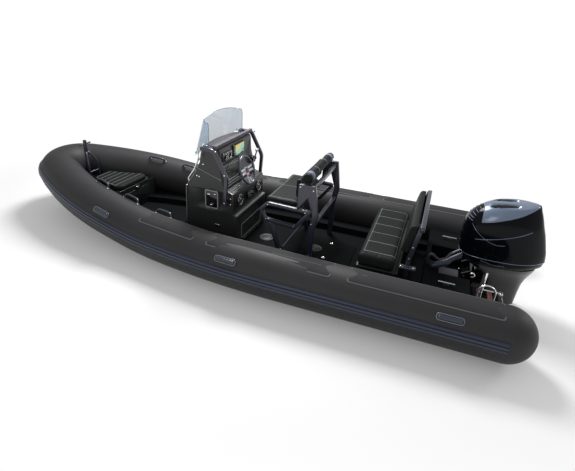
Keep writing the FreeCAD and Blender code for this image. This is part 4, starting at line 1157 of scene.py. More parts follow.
def seatFrame():
    y, size = 0.487, 0.045
    loop = [(2.391, y, 0.755), (2.307, y, 0.845), (1.8, y, 0.83), (1.96, y, 0.61), (2.33, y, 0.64)]
    brace = [(2.29, 0.62), (2.235, 0.62), (2.062, 0.1225), (2.122, 0.1225)]
    post = [(1.755, 1.149), (1.7, 0.8), (1.735, 0.6), (1.735, 0.1225), (1.798, 0.1225), (1.8, 0.62),
        (1.77, 0.8), (1.835, 1.0), (1.949, 0.83), (1.949, 1.149)]
    parts = twoSides([squareTube(loop, size, size, 0.03, 0.007, closed=True),
        plate(brace, 0.004, 2, y - size / 2, y + size / 2, "xz", 0.006),
        plate(post, 0.012, 3, y - size / 2, y + size / 2, "xz", 0.006)])
    for low, high in (((1.768, -0.466, 1.08), (1.812, 0.466, 1.124)),
            ((1.73, -0.466, 0.65), (1.774, 0.466, 0.694)), ((2.29, -0.466, 0.8), (2.334, 0.466, 0.844)),
            ((1.98, -0.466, 0.8), (2.024, 0.466, 0.844))):
        parts.append(block(low, high, 0.006, "xz"))
    return parts


makePiece("seatFrame", seatFrame(), "frame", "helm_seat_frame", sharp=40)
print("console and seat frame built")


def benchStitch(points, normal):
    # channels fore and aft across the seat, and one long seam inside the edge
    x, y, z = points.T
    inside = (np.abs(y) < 0.6) & (x > 0.8) & (x < 1.13)
    channels = sum(groove(y - c, 0.012, 0.006) for c in np.linspace(-0.6, 0.6, 6))
    edge = groove(np.abs(y) - 0.6) * (x > 0.79) * (x < 1.14)
    edge = edge + (groove(x - 0.8) + groove(x - 1.13)) * (np.abs(y) < 0.605)
    return np.where(normal[:, 2] > 0.5, np.where(inside, channels, 0) + edge, 0)


stuffed("benchCushion", block((0.778, -0.708, 0.4525), (1.182, 0.708, 0.578), 0.03, "xy", 0.045),
    "bench_top", "bench_cushion", 0.009, 0.01, benchStitch)
print("bench cushion made")


# hull: half sections from the keel to the chine with two spray rails, carried along the boat
def hullSkin():
    table = np.array(((0.0, -0.38, 0.1), (2.6, -0.38, 0.1), (3.9, -0.345, 0.1), (4.56, -0.25, 0.1),
        (5.05, -0.09, 0.2), (5.4, 0.08, 0.29), (5.64, 0.23, 0.38)))
    x = np.concatenate([np.linspace(0, 3.9, 28), np.linspace(3.9, 5.64, 40)[1:]])
    centre = collarFrames([collarAt(v) for v in x])[:, 0]
    keel = np.interp(x, table[:, 0], table[:, 1])
    top = np.interp(x, table[:, 0], table[:, 2])
    keel[1:-1] = 0.25 * keel[:-2] + 0.5 * keel[1:-1] + 0.25 * keel[2:]
    chineY, flangeY = (centre[:, 1] - 0.19).clip(0.024, None), (centre[:, 1] - 0.04).clip(0.048, None)
    chineZ, flangeZ = centre[:, 2] - 0.33, np.minimum(top - 0.001, centre[:, 2] - 0.22)
    rows = []
    for k in range(len(x)):
        rail = 0.014 * min(1.0, max(0.0, (5.1 - x[k]) / 0.8))  # the spray rails run out at the bow
        half = [(0.0, keel[k])]
        for share, drop in ((0.03, 0), (0.33, 0), (0.335, 1), (0.38, 1), (0.385, 0), (0.62, 0), (0.625, 1),
                (0.67, 1), (0.675, 0), (0.92, 0), (0.925, 1), (0.985, 1)):
            half.append((chineY[k] * share, keel[k] + (chineZ[k] - keel[k]) * share - rail * drop))
        half += [(chineY[k], chineZ[k]), (flangeY[k], flangeZ[k]), (flangeY[k], top[k])]
        ring = half + [(-a, b) for a, b in half[:0:-1]]
        rows.append([(x[k], a, b) for a, b in ring])
    return closedPart(rows)


makePiece("hullSkin", [hullSkin()], "hull", "hull", sharp=24)


handle = {"at": (0.2, 2.44, 4.23), "angle": 36, "half": (0.125, 0.035), "spine": 0.09}


def carryHandles():
    # rounded lozenges on the tube: a rim, a valley and a raised grip
    wide, tall = handle["half"]
    outline = roundCorners(boxCorners((-wide, -tall), (wide, tall)), 0.034, 8)
    spine = np.stack([outline[:, 0].clip(-handle["spine"], handle["spine"]), np.zeros(len(outline))], -1)
    steps = ((0, -0.003), (0, 0.006), (0.001, 0.011), (0.004, 0.013), (0.0085, 0.013), (0.011, 0.009),
        (0.014, 0.008), (0.016, 0.015), (0.019, 0.022), (0.024, 0.0255), (0.03, 0.026), (0.0345, 0.026))
    parts = []
    for x in handle["at"]:
        rings = []
        for shrink, height in steps:
            flat = spine + (outline - spine) * (1 - shrink / tall)
            angle = math.radians(handle["angle"]) + flat[:, 1] / collar["radius"]
            radius = np.full(len(flat), collar["radius"] + height)
            rings.append(onTube(collarAt(x) + flat[:, 0], angle, radius))
        parts.append(closedPart(rings, np.arange(len(steps))))
    return twoSides(parts)


makePiece("carryHandles", carryHandles(), "handle", "carry_handles", sharp=50)


grab = {"at": (3.56, 4.12, 4.65), "angle": 118, "depth": 0.268, "radius": 0.0135, "reach": 0.115}


def grabArches():
    parts = []
    for x in grab["at"]:
        point, tangent, away, up = collarFrames([collarAt(x)])[0]
        out = away * math.cos(math.radians(grab["angle"])) + up * math.sin(math.radians(grab["angle"]))
        foot = point + out * grab["depth"]
        line = [foot + tangent * along + out * rise for along, rise in ((-0.115, 0.0), (-0.113, 0.022),
            (-0.085, 0.053), (0.0, 0.059), (0.085, 0.053), (0.113, 0.022), (0.115, 0.0))]
        parts.append(rod(smoothPath(line, 5), grab["radius"], 14, np.cross(tangent, out)))
        for side in (-1, 1):
            parts.append(lathe([(0.034, -0.006), (0.034, 0.004), (0.031, 0.008), (0.022, 0.011),
                (0.0138, 0.017)], foot + side * grab["reach"] * tangent, out, 24))
    return twoSides(parts)


makePiece("grabArches", grabArches(), "frame", "bow_grab_handles", sharp=50)
print("hull and handles built")


# bow locker, its lid and latch: outlines that follow the collar's inner side
def insideY(x, inset):
    s = np.linspace(0, collarLength, 2001)
    f = collarFrames(s)
    points = f[:, 0] - f[:, 2] * inset
    return float(np.interp(x, points[:, 0], points[:, 1]))


def alongCollar(aft, fore, inset):
    port = [(x, insideY(x, inset)) for x in np.linspace(aft, fore, 9)]
    return port + [(x, -y) for x, y in port[::-1]]


def walls(outline, inner, low, high):
    # an open-ended wall between two outlines of as many points
    rings = [np.c_[np.asarray(o, float), np.full(len(o), z)]
        for o, z in ((outline, low), (outline, high), (inner, high), (inner, low), (outline, low))]
    return outward(gridPart(np.stack(rings), closed=True))


lockerIn = 0.2763
outer, inner = alongCollar(4.56, 5.19, lockerIn), alongCollar(4.58, 5.17, lockerIn + 0.02)
locker = [walls(outer, inner, 0.2005, 0.4497)]
locker.append(plate(boxCorners((-0.3, 0.235), (0.3, 0.4)), 0.03, 4, 4.555, 4.5605, "yz", 0.003))
makePiece("bowLocker", locker, "mould", "bow_locker")


def lidOutline(aft, fore, gapAft, gapFore, radius=0.03):
    # a tapering lid whose aft corners are cut, at given gaps from the collar
    cut, inset = 0.06, 0.2703
    y = [insideY(aft + cut, inset + gapAft), insideY(fore, inset + gapFore)]
    port = [(aft, y[0] - cut), (aft + cut, y[0]), (fore, y[1])]
    return roundCorners(port + [(a, -b) for a, b in port[::-1]], radius, 5)


makePiece("bowLid", [slab(lidOutline(4.561, 5.189, 0.061, 0.023), 0.4505, 0.4725, "xy", 0.004)], "mould",
    "bow_lid", "bow_hatch")
latch = [plate(boxCorners((-0.085, 0.395), (-0.015, 0.445)), 0.01, 4, 4.548, 4.5595, "yz", 0.003)]
latch.append(lathe([(0.013, 0), (0.013, 0.004), (0.009, 0.006)], (4.549, -0.05, 0.42), astern, 20))
makePiece("lockerLatch", latch, "chrome", "locker_latch")


def bowStitch(points, normal):
    # a seam 8 cm inside the edge and channels across the middle
    x, y, z = points.T
    half = np.interp(x, (4.62, 5.155), (0.372, 0.216)) - 0.082
    inside = (np.abs(y) < half) & (x > 4.655) & (x < 5.085)
    edge = groove(np.abs(y) - half) * ((x > 4.65) & (x < 5.09))
    edge = edge + (groove(x - 4.655) + groove(x - 5.085)) * (np.abs(y) < half)
    channels = sum(groove(x - c) for c in np.linspace(4.655, 5.085, 6)[1:-1])
    return np.where(normal[:, 2] > 0.5, edge + np.where(inside, channels, 0), 0)


stuffed("bowCushion", slab(lidOutline(4.556, 5.147, 0.112, 0.06, 0.045), 0.4735, 0.5405, "xy", 0.026, 5),
    "bow_hatch", "bow_cushion", 0.008, 0.008, bowStitch)


def bowPost():
    # the tow post with its pin and its two braced stays
    x, deck = 5.3607, 0.45
    post = [(0.026, 0.0), (0.026, 0.536), (0.0255, 0.546), (0.02, 0.55)]
    foot = [(0.044, 0.0), (0.044, 0.007), (0.04, 0.01), (0.0262, 0.01)]
    pin = [(0.006, -0.105), (0.009, -0.102), (0.009, 0.102), (0.006, 0.105)]
    parts = [lathe(post, (x, 0, deck), upright, 32), lathe(foot, (x, 0, deck), upright, 32),
        lathe(pin, (x, 0, 0.95), across, 20)]
    for side in (-1, 1):
        parts.append(lathe([(0.009, 0), (0.0125, 0.002), (0.0125, 0.01), (0.009, 0.012)],
            (x, side * 0.082, 0.95), (0, side, 0), 20))
    stay = [(x, 0.0, 0.835), (x - 0.03, 0.028, 0.812), (x - 0.062, 0.059, 0.755), (x - 0.084, 0.08, 0.68),
        (x - 0.094, 0.09, 0.6), (x - 0.096, 0.092, 0.455)]
    parts += twoSides([rod(smoothPath(stay, 5), 0.014, 16, across),
        lathe([(0.026, 0), (0.026, 0.005), (0.018, 0.008)], stay[-1][:2] + (0.45,), upright, 20)])
    parts.append(lathe([(0.011, -0.091), (0.011, 0.091)], (x - 0.094, 0, 0.56), across, 20))
    return parts


makePiece("bowPost", bowPost(), "frame", "bow_post", sharp=45)
print("bow built")


def seatStitch(points, normal):
    # seams 5 cm inside the ends of the helm seat, and both ways across its middle
    x, y, z = points.T
    seams = groove(np.abs(y) - 0.405, 0.008, 0.004) + groove(y, 0.008, 0.004)
    seams = seams + groove(x - 2.315, 0.008, 0.004) * (np.abs(y) < 0.41)
    return np.where(normal[:, 2] > 0.4, seams, 0)


def backStitch(points, normal):
    x, y, z = points.T
    return groove(np.abs(y) - 0.16, 0.008, 0.004) + groove(np.abs(y) - 0.41, 0.008, 0.004)


stuffed("helmSeatCushion", block((1.972, -0.457, 0.8455), (2.358, 0.457, 0.898), 0.022, "xy", 0.04), "root",
    "helm_seat_cushion", 0.008, 0.007, seatStitch)
stuffed("helmSeatBackrest", block((1.952, -0.457, 0.957), (1.994, 0.457, 1.173), 0.018, "yz", 0.03), "root",
    "helm_seat_backrest", 0.008, 0.007, backStitch)
roll = [(0.03, -0.474), (0.048, -0.468), (0.052, -0.455), (0.052, 0.455), (0.048, 0.468), (0.03, 0.474)]
stuffed("helmSeatRoll", lathe(roll, (1.868, 0, 1.2073), across, 32), "root", "helm_seat_roll", 0.008,
    0.005, backStitch)
restOutline = roundCorners([(0.762, 0.628), (0.694, 0.952), (0.63, 0.952), (0.684, 0.628)],
    [0.03, 0.03, 0.008, 0.008], 5)


def restStitch(points, normal):
    # upright channels between two long seams
    x, y, z = points.T
    inside = (np.abs(y) < 0.5) & (z > 0.69) & (z < 0.9)
    channels = sum(groove(y - c) for c in np.linspace(-0.5, 0.5, 6))
    edge = (groove(z - 0.69, depth=0.004) + groove(z - 0.9, depth=0.004)) * (np.abs(y) < 0.505)
    return np.where(normal[:, 0] > 0.3, edge + np.where(inside, channels, 0), 0)


stuffed("benchBackrest", slab(restOutline, -0.56, 0.56, "xz", 0.02, 4), "root", "bench_backrest", 0.009,
    0.006, restStitch)

benchBox = roundCorners(boxCorners((0.741, -0.699), (1.159, 0.699)), 0.02, 4)
benchIn = roundCorners(boxCorners((0.758, -0.681), (1.141, 0.681)), 0.02, 4)
bench = [walls(benchBox, benchIn, 0.1205, 0.4315)]
bench.append(plate(boxCorners((-0.62, 0.17), (0.62, 0.385)), 0.03, 4, 1.157, 1.163, "yz", 0.003))
bench += [plate(boxCorners((a, 0.19), (a + 0.24, 0.365)), 0.02, 4, 1.161, 1.166, "yz", 0.003)
    for a in (-0.58, -0.12, 0.34)]
makePiece("benchLocker", bench, "mould", "bench_locker")
makePiece("benchLid", [block((0.7505, -0.7155, 0.4322), (1.1795, 0.7155, 0.4498), 0.004, "xy", 0.02)],
    "mould", "bench_lid", "bench_top")
benchFrame = twoSides([squareTube([(0.66, 0.515, 0.1215), (0.66, 0.515, 0.56), (0.598, 0.515, 0.955)], 0.05,
    0.043, 0.04), block((0.63, 0.47, 0.1205), (0.69, 0.56, 0.128), 0.002, "xy", 0.008)])
benchFrame += [block((0.5675, -0.5745, 0.903), (0.6155, 0.5745, 0.9595), 0.01, "xz", 0.012),
    block((0.631, -0.5, 0.561), (0.669, 0.5, 0.599), 0.006, "xz", 0.008)]
backPanel = [(0.64, 0.605), (0.65, 0.605), (0.604, 0.895), (0.594, 0.895)]
benchFrame.append(slab(backPanel, -0.49, 0.49, "xz", 0.002))
makePiece("benchBackFrame", benchFrame, "frame", "bench_back_frame")
print("seats built")


def ladderParts():
    # two rails joined by a round end, with two ribbed treads
    z = 0.334
    loop = roundCorners([(-0.302, 0.43, z), (-0.087, 0.43, z), (-0.087, 0.7, z), (-0.302, 0.7, z)],
        0.035, 6, False)
    parts = [rod(loop, 0.013, 16, upright),
        lathe([(0.006, -0.167), (0.006, 0.167)], (-0.314, 0.565, 0.33), across, 16)]
    for y in (0.43, 0.7):
        parts.append(lathe([(0.0155, -0.017), (0.0165, -0.014), (0.0165, 0.014), (0.0155, 0.017)],
            (-0.314, y, 0.33), across, 24))
        parts.append(lathe([(0.013, 0), (0.013, 0.03)], (-0.318, y, 0.332), (1, 0, 0.05), 16))
    return parts


makePiece("boardingLadder", ladderParts(), "chrome", "boarding_ladder", "ladder", sharp=45)
treads = []
for start in (0.095, 0.2):
    x = -0.314 + start
    treads.append(block((x, 0.444, 0.3225), (x + 0.044, 0.686, 0.344), 0.004))
    treads += [block((x + 0.005 + 0.01 * k, 0.452, 0.343), (x + 0.009 + 0.01 * k, 0.678, 0.3465), 0.001)
        for k in range(4)]
makePiece("ladderTreads", treads, "wood", body="ladder")
print("ladder built")


def bolts(spots, axis, radius, height):
    # domed heads
    return [lathe([(radius, -0.001), (radius, height * 0.4), (radius * 0.85, height * 0.8),
        (radius * 0.45, height)], spot, axis, 14) for spot in spots]


def ringTrim(low, high, level, plane, corner, width, height):
    # a flat band round a rounded rectangle
    third = {"yz": 0, "xz": 1, "xy": 2}[plane]
    path = np.insert(roundCorners(boxCorners(low, high), corner, 5), third, level, axis=1)
    return sweep(rectangle(width, height, 0.002, 2), path, np.eye(3)[third], closed=True)


def onSide(x, z):
    # a point on the console's port side
    return (x, sideY(z), z)


# console trim: grab bars, bolts, a moulded line on each side
chromeParts = []
for y in (-0.36, 0.36):
    bar = [(3.25, y, 1.185), (3.278, y, 1.172), (3.338, y, 1.03), (3.436, y, 0.89), (3.412, y, 0.862)]
    chromeParts.append(rod(roundCorners(bar, 0.02, 5, False), 0.011, 16, across))
    for end in (bar[0], bar[-1]):
        chromeParts.append(lathe([(0.024, 0), (0.024, 0.004), (0.014, 0.01)], (end[0] - 0.004, y, end[2]),
            (1, 0, 0.5), 20))
sideBolts = [onSide(3.165, 1.144), onSide(3.252, 0.992), onSide(3.222, 0.985), onSide(2.805, 0.775),
    onSide(2.805, 0.7), onSide(3.236, 1.29), onSide(3.4, 0.845)]
for spots, axis, radius, height in ((sideBolts, across, 0.011, 0.007),
        ([(3.115, 0.4385, 1.372), (3.165, 0.4385, 1.372)], across, 0.012, 0.008),
        ([(3.324, 0.22, 1.24), (3.3, 0.375, 1.25)], foreAft, 0.012, 0.006)):
    chromeParts += twoSides(bolts(spots, axis, radius, height))
chromeParts += twoSides([block((2.955, 0.449, 0.372), (3.025, 0.459, 0.404), 0.004, "xz", 0.014)])
makePiece("consoleChrome", chromeParts, "chrome", sharp=45)
line = smoothPath([onSide(3.288, 1.111), onSide(3.22, 1.082), onSide(3.08, 1.035), onSide(2.925, 0.988)], 6)
# a light trim rod up each front corner of the console, a painted highlight where that corner catches the
# light
edge = roundCorners([(3.437, 0.443, 0.14), (3.412, 0.446, 0.83), (3.3, 0.446, 1.0), (3.24, 0.44, 1.15),
    (3.222, 0.43, 1.3)], 0.05, 4, False)
makePiece("consoleLines", twoSides([rod(line, 0.003, 8, across), rod(edge, 0.004, 8, across)]), "trim")
browOutline = roundCorners([(3.01, -0.37), (3.165, -0.37), (3.205, 0.0), (3.165, 0.37), (3.01, 0.37)],
    [0.02, 0.05, 0.3, 0.05, 0.02], 8)
crossbar = squareTube([(2.985, -0.489, 1.379), (2.985, 0.489, 1.379)], 0.042, 0.042, 0.03, 0.008, upright)
makePiece("consoleCrossbar", [crossbar], "brow", sharp=40)
makePiece("browPad", [slab(browOutline, 1.3495, 1.358, "xy", 0.003)], "brow")
# raised ribs on the ledge and a strip along the step, real mouldings whose light grey colour is a painted
# highlight along their tops
ribs = [block((x - 0.006, -0.4, z), (x + 0.006, 0.4, z + 0.007), 0.003)
    for x, z in ((2.795, 0.8425), (2.822, 0.85), (2.849, 0.857))]
ribs += [block((x - 0.008, -0.4, z - 0.006), (x + 0.004, 0.4, z + 0.006), 0.003)
    for x, z in ((2.884, 0.893), (2.891, 0.922), (2.902, 0.951))]
ribs.append(block((2.7285, -0.43, 0.548), (2.768, 0.43, 0.562), 0.005))
makePiece("dashRibs", ribs, "trim")


def screenEdge():
    outer = paneGrid(pane["thick"] / 2)
    path = np.concatenate([outer[:, 0], outer[-1, 1:-1], outer[::-1, -1]])
    return [rod(path, 0.0032, 8, (1, 0, 0.1))]


makePiece("screenEdging", screenEdge(), "slate")

# dash: plotter, gauges, switches
makePiece("plotterCase", [block((2.93, -0.185, 1.1805), (2.9555, 0.115, 1.3245), 0.005, "yz", 0.014)],
    "gloss", "chart_plotter")
makePiece("plotterScreen", [block((2.9285, -0.168, 1.194), (2.931, 0.068, 1.312), 0.001, "yz", 0.004)],
    "chart")
keys = [block((2.928, 0.078, z), (2.931, 0.1, z + 0.012), 0.001, "yz", 0.003)
    for z in (1.205, 1.228, 1.251, 1.274)]
makePiece("plotterKeys", keys, "trim")
gauges = [block((2.9335, 0.15, 1.1855), (2.9555, 0.38, 1.2895), 0.005, "yz", 0.012)]
bezels, marks = [], []
for y, z, r in ((0.205, 1.24, 0.036), (0.325, 1.24, 0.036), (0.265, 1.262, 0.019), (0.265, 1.212, 0.019)):
    gauges.append(lathe([(r - 0.004, 0), (r - 0.004, 0.002)], (2.934, y, z), astern, 28))
    bezels.append(lathe([(r, 0), (r, 0.005), (r - 0.003, 0.006), (r - 0.005, 0.002)],
        (2.934, y, z), astern, 28))
    for k in range(8):
        a = math.radians(-40 + k * 37)
        spot = np.array((2.9316, y + math.cos(a) * (r - 0.009), z + math.sin(a) * (r - 0.009)))
        marks.append(block(spot - (0.0006, 0.0012, 0.0012), spot + (0.0006, 0.0012, 0.0012), 0.0003))
    tip = (2.9312, y + math.cos(2.2) * (r - 0.01), z + math.sin(2.2) * (r - 0.01))
    marks.append(rod([(2.9312, y, z), tip], 0.0009, 6, foreAft))
makePiece("gaugePanel", gauges, "instrument", "switch_panel")
makePiece("gaugeBezels", bezels, "chrome")
switches = [block((2.9225, y, 1.114), (2.93, y + 0.024, 1.146), 0.002, "yz", 0.004)
    for y in np.arange(-0.08, 0.37, 0.044)]
makePiece("switchCaps", switches + marks, "trim")
makePiece("switchPlate", [block((2.9275, -0.065, 1.104), (2.945, 0.385, 1.156), 0.003, "yz", 0.008),
    block((2.92, 0.24, 0.985), (2.936, 0.38, 1.07), 0.004, "yz", 0.01)], "gloss")

# wheel: the rim, three dished spokes and the hub, about the tilted shaft
wheel = {"centre": np.array((2.8, 0.0, 1.005)), "tilt": math.radians(22.0), "radius": 0.175, "rim": 0.0148}
shaftWay = np.array((math.cos(wheel["tilt"]), 0, -math.sin(wheel["tilt"])))
sideWay = np.array((0.0, 1.0, 0.0))
topWay = np.array((math.sin(wheel["tilt"]), 0, math.cos(wheel["tilt"])))


def wheelSpot(radius, angle, depth=0.0):
    away = math.cos(angle) * sideWay + math.sin(angle) * topWay
    return wheel["centre"] + radius * away + depth * shaftWay


angles = np.linspace(0, 2 * math.pi, 72, endpoint=False)
rimPath = np.array([wheelSpot(wheel["radius"], a) for a in angles])
around = np.arange(16) / 16 * 2 * math.pi
away = (rimPath - wheel["centre"]) / wheel["radius"]
bumps = 1 + 0.05 * np.cos(angles * 24) * (np.cos(angles) < 0.2)
spoke = np.cos(around)[None, :, None] * away[:, None] + np.sin(around)[None, :, None] * shaftWay
rim = rimPath[:, None] + wheel["rim"] * bumps[:, None, None] * spoke
rim = np.concatenate([rim, rim[:1]])
hub = [(0.02, -0.012), (0.03, -0.01), (0.034, -0.002), (0.034, 0.006)]
grip = [outward(gridPart(rim, closed=True)), lathe(hub, wheel["centre"], shaftWay, 32)]
makePiece("wheelRim", grip, "wheelGrip", "steering_wheel", "helm", sharp=45)
hub = [(0.012, 0.0), (0.042, 0.002), (0.042, 0.022), (0.03, 0.028), (0.012, 0.034), (0.012, 0.075)]
spokes = [lathe(hub, wheel["centre"], shaftWay, 32)]
for degree in (180.0, 0.0, 270.0):
    for spread in (-0.2, 0.2):
        a = math.radians(degree)
        path = [wheelSpot(0.036, a + spread * 2.4, 0.01), wheelSpot(0.085, a + spread * 1.2, 0.011),
            wheelSpot(0.13, a + spread * 0.9, 0.006), wheelSpot(0.168, a + spread * 0.95, 0.001)]
        spokes.append(sweep(rectangle(0.026, 0.006, 0.002, 2), smoothPath(path, 5), shaftWay))
makePiece("wheelSpokes", spokes, "spoke", body="helm", sharp=45)
knob = [(0.013, -0.004), (0.015, -0.01), (0.013, -0.022), (0.008, -0.025)]
makePiece("stopSwitch", [lathe(knob, wheelSpot(0.078, math.radians(262), 0.006), shaftWay, 20)], "red",
    body="helm")
column = [(0.034, 0.0765), (0.036, 0.09), (0.052, 0.11), (0.058, 0.125), (0.058, 0.165)]
makePiece("helmUnit", [lathe(column, wheel["centre"], shaftWay, 36)], "gloss", "helm_unit")

throttle = [block((2.864, -0.4045, 0.986), (2.945, -0.3155, 1.074), 0.01, "xz", 0.02)]
makePiece("throttleBox", throttle, "gloss", "throttle_control")
pivot = [(0.022, 0), (0.022, 0.012), (0.018, 0.0145)]
arm = smoothPath([(2.88, -0.413, 1.045), (2.868, -0.414, 1.1), (2.846, -0.412, 1.155)], 5)
knob = [(0.006, -0.424), (0.014, -0.42), (0.0155, -0.4), (0.0155, -0.375), (0.013, -0.36), (0.006, -0.356)]
lever = [lathe(pivot, (2.88, -0.4055, 1.04), (0, -1, 0), 28),
    sweep(rectangle(0.018, 0.009, 0.003, 2), arm, across), lathe(knob, (2.845, 0, 1.16), across, 24)]
makePiece("throttleLever", lever, "steel", "throttle_lever")

# loudspeakers and radio below the ledge
cones, stars = [], []
for y in (-0.275, 0.275):
    spot = (2.7648, y, 0.715)
    cones.append(lathe([(0.082, 0), (0.082, 0.008), (0.079, 0.012), (0.07, 0.0135), (0.064, 0.009),
        (0.05, 0.004), (0.02, 0.001), (0.001, 0.001)], spot, astern, 40))
    stars.append(lathe([(0.024, 0.001), (0.024, 0.008), (0.016, 0.013), (0.004, 0.0135)], spot, astern, 24))
    ringPath = [(2.7525, y + 0.066 * math.cos(a), 0.715 + 0.066 * math.sin(a)) for a in angles[::2]]
    stars.append(rod(ringPath, 0.0035, 8, foreAft, closed=True))
    for k in range(6):
        a = k * math.pi / 3 + 0.4
        ends = [(2.7545, y + r * math.cos(a + t), 0.715 + r * math.sin(a + t))
            for r, t in ((0.022, 0), (0.045, 0.14), (0.064, 0.2))]
        stars.append(sweep(rectangle(0.01, 0.004, 0.001, 2), ends, foreAft))
makePiece("speakerCones", cones, "satin", "speakers")
makePiece("speakerStars", stars, "chrome")
makePiece("radioBody", [block((2.75, -0.0915, 0.6555), (2.7648, 0.0915, 0.7495), 0.004, "yz", 0.01)],
    "gloss", "radio")
radioParts = [lathe([(0.017, 0), (0.017, 0.008), (0.013, 0.01)], (2.7505, -0.06, 0.7), astern, 28)]
radioParts += [block((2.7475, y, 0.668), (2.7505, y + 0.018, 0.68), 0.001, "yz", 0.003)
    for y in (-0.03, -0.005, 0.02, 0.045)]
radioParts.append(block((2.7485, -0.03, 0.696), (2.7505, 0.07, 0.732), 0.0008, "yz", 0.004))
makePiece("radioFace", radioParts, "trim")

# door and hatch trim
doorTrim = [ringTrim((-0.295, 0.195), (0.295, 0.388), 2.7295, "yz", 0.03, 0.01, 0.005)]
makePiece("doorTrim", doorTrim, "trim", body="door")
doorLatch = [lathe([(0.02, 0), (0.02, 0.004), (0.014, 0.007)], (2.7305, 0.0, 0.368), astern, 28)]
makePiece("doorLatch", doorLatch, "chrome", body="door")
hatchFrame = [ringTrim((2.974, 0.614), (3.141, 0.836), 0.4545, "xz", 0.022, 0.015, 0.007)]
makePiece("hatchFrame", hatchFrame, "trim", body="hatch")
hatchPanel = [plate(boxCorners((2.978, 0.618), (3.137, 0.832)), 0.02, 4, 0.4515, 0.4535, "xz", 0.001)]
makePiece("hatchPanel", hatchPanel, "gloss", body="hatch")
knob = [(0.02, 0), (0.021, 0.01), (0.016, 0.02), (0.007, 0.022)]
latches = [lathe(knob, (3.057, 0.453, 0.652), across, 28),
    block((2.992, 0.453, 0.79), (3.026, 0.462, 0.806), 0.004),
    block((3.072, 0.453, 0.77), (3.112, 0.464, 0.796), 0.005)]
makePiece("hatchLatches", latches, "chrome", body="hatch")
print("console dressed")

# floor hatch and round plates
floorHatch = [block((1.3305, -0.2595, 0.1205), (1.6995, 0.2595, 0.1318), 0.003, "xy", 0.03),
    ringTrim((1.352, -0.238), (1.678, 0.238), 0.1322, "xy", 0.025, 0.006, 0.003)]
makePiece("floorHatch", floorHatch, "deck", "floor_hatch", "sole_hatch")
latchRings = [lathe([(0.022, 0), (0.022, 0.0015), (0.018, 0.003), (0.012, 0.001)], (1.66, y, 0.1316),
    upright, 24) for y in (-0.2, 0.2)]
makePiece("hatchRings", latchRings, "chrome", body="sole_hatch")
plates = []
for x in (2.5, 1.83):
    plates.append(lathe([(0.095, 0.0005), (0.095, 0.0045), (0.092, 0.006), (0.074, 0.006), (0.071, 0.004),
        (0.066, 0.004), (0.063, 0.0055), (0.03, 0.0055), (0.001, 0.0055)], (x, 0, 0.12), upright, 44))
    plates.append(block((x - 0.035, -0.006, 0.1235), (x + 0.035, 0.006, 0.1295), 0.002))
makePiece("deckPlates", plates, "band", "deck_plates")

# bolts and brackets of the frames, and the foot rail
seatBolts = [(2.3, 0.835), (1.85, 0.822), (1.975, 0.622), (2.318, 0.65), (1.775, 1.1), (1.925, 1.12),
    (1.77, 0.7), (1.765, 0.3), (2.13, 0.3)]
railBolts = [(2.95, 1.354), (2.84, 1.09), (2.846, 0.74)]
postBolts = [(0.597, 0.93), (0.66, 0.56), (0.66, 0.47), (0.645, 0.7)]
frameBolts = []
for spots, out, radius, height in ((seatBolts, 0.5095, 0.009, 0.006), (railBolts, 0.531, 0.01, 0.006),
        (postBolts, 0.541, 0.01, 0.007)):
    frameBolts += twoSides(bolts([(x, out, z) for x, z in spots], across, radius, height))
frameBolts += twoSides(bolts([(0.6, 0.592, 0.487), (0.72, 0.592, 0.487)], upright, 0.013, 0.01))
makePiece("frameBolts", frameBolts, "chrome")
brackets = twoSides([block((0.57, 0.541, 0.462), (0.745, 0.615, 0.486), 0.005, "xy", 0.012)])
brackets.append(lathe([(0.012, -0.466), (0.012, 0.466)], (2.107, 0, 0.3), across, 16))
makePiece("frameBrackets", brackets, "frame")
strap = [lathe([(0.0505, y - 0.034), (0.056, y - 0.032), (0.056, y + 0.032), (0.0505, y + 0.034)],
    (1.868, 0, 1.2073), across, 40) for y in (-0.37, 0.37)]
makePiece("rollStraps", strap, "webbing")
print("floor and frames dressed")


# engine lines on rings worked out between the cowling's own: slate rods that are painted highlights along its
# seam, creases and louvres
def cowlSpot(height, degrees, lift):
    spot = ringOf(*cowlRing(height), 360, cowl["tail"])[int(round(degrees)) % 360]
    a = math.radians(degrees)
    return spot + lift * np.array((math.cos(a), math.sin(a), 0.15))


def cowlLine(spots, radius):
    # spots are (height, degrees) pairs
    path = [cowlSpot(h, d * 100, 0.0005) for h, d, _ in smoothPath([(h, d / 100, 0) for h, d in spots], 8)]
    return rod(path, radius, 8, upright)


def cowlSide(x, z):
    # the port wall at x and z, found by stepping the ring height until it meets z
    height = z
    for _ in range(2):
        height = z + cowlRing(height)[5] * (x + 0.1)
    return (x, cowlWall(x, height)[0] + 0.0006, z)


def creaseLine(spots, radius):
    path = [cowlSide(x, z) for x, z, _ in smoothPath([(x, z, 0) for x, z in spots], 8)]
    return rod(path, radius, 8, upright)


# the seam between the cowl and the apron is real; its slate ring is a painted highlight along it
skirt = [cowlSpot(0.583, d, 0.001) for d in range(0, 360, 5)]
lines = [rod(skirt, 0.004, 8, upright, closed=True)]
# slate lines along creases of the side, which the shell itself lacks: painted highlights where those creases
# catch the light
lines += twoSides([creaseLine([(0.05, 0.786), (-0.09, 0.825), (-0.26, 0.882), (-0.46, 0.962)], 0.0035),
    creaseLine([(0.112, 0.935), (0.045, 0.868), (-0.05, 0.809), (-0.15, 0.777), (-0.24, 0.788)], 0.003),
    creaseLine([(-0.06, 0.556), (-0.19, 0.538), (-0.3, 0.545)], 0.0025)])
makePiece("cowlLines", lines, "slate", body="outboard")
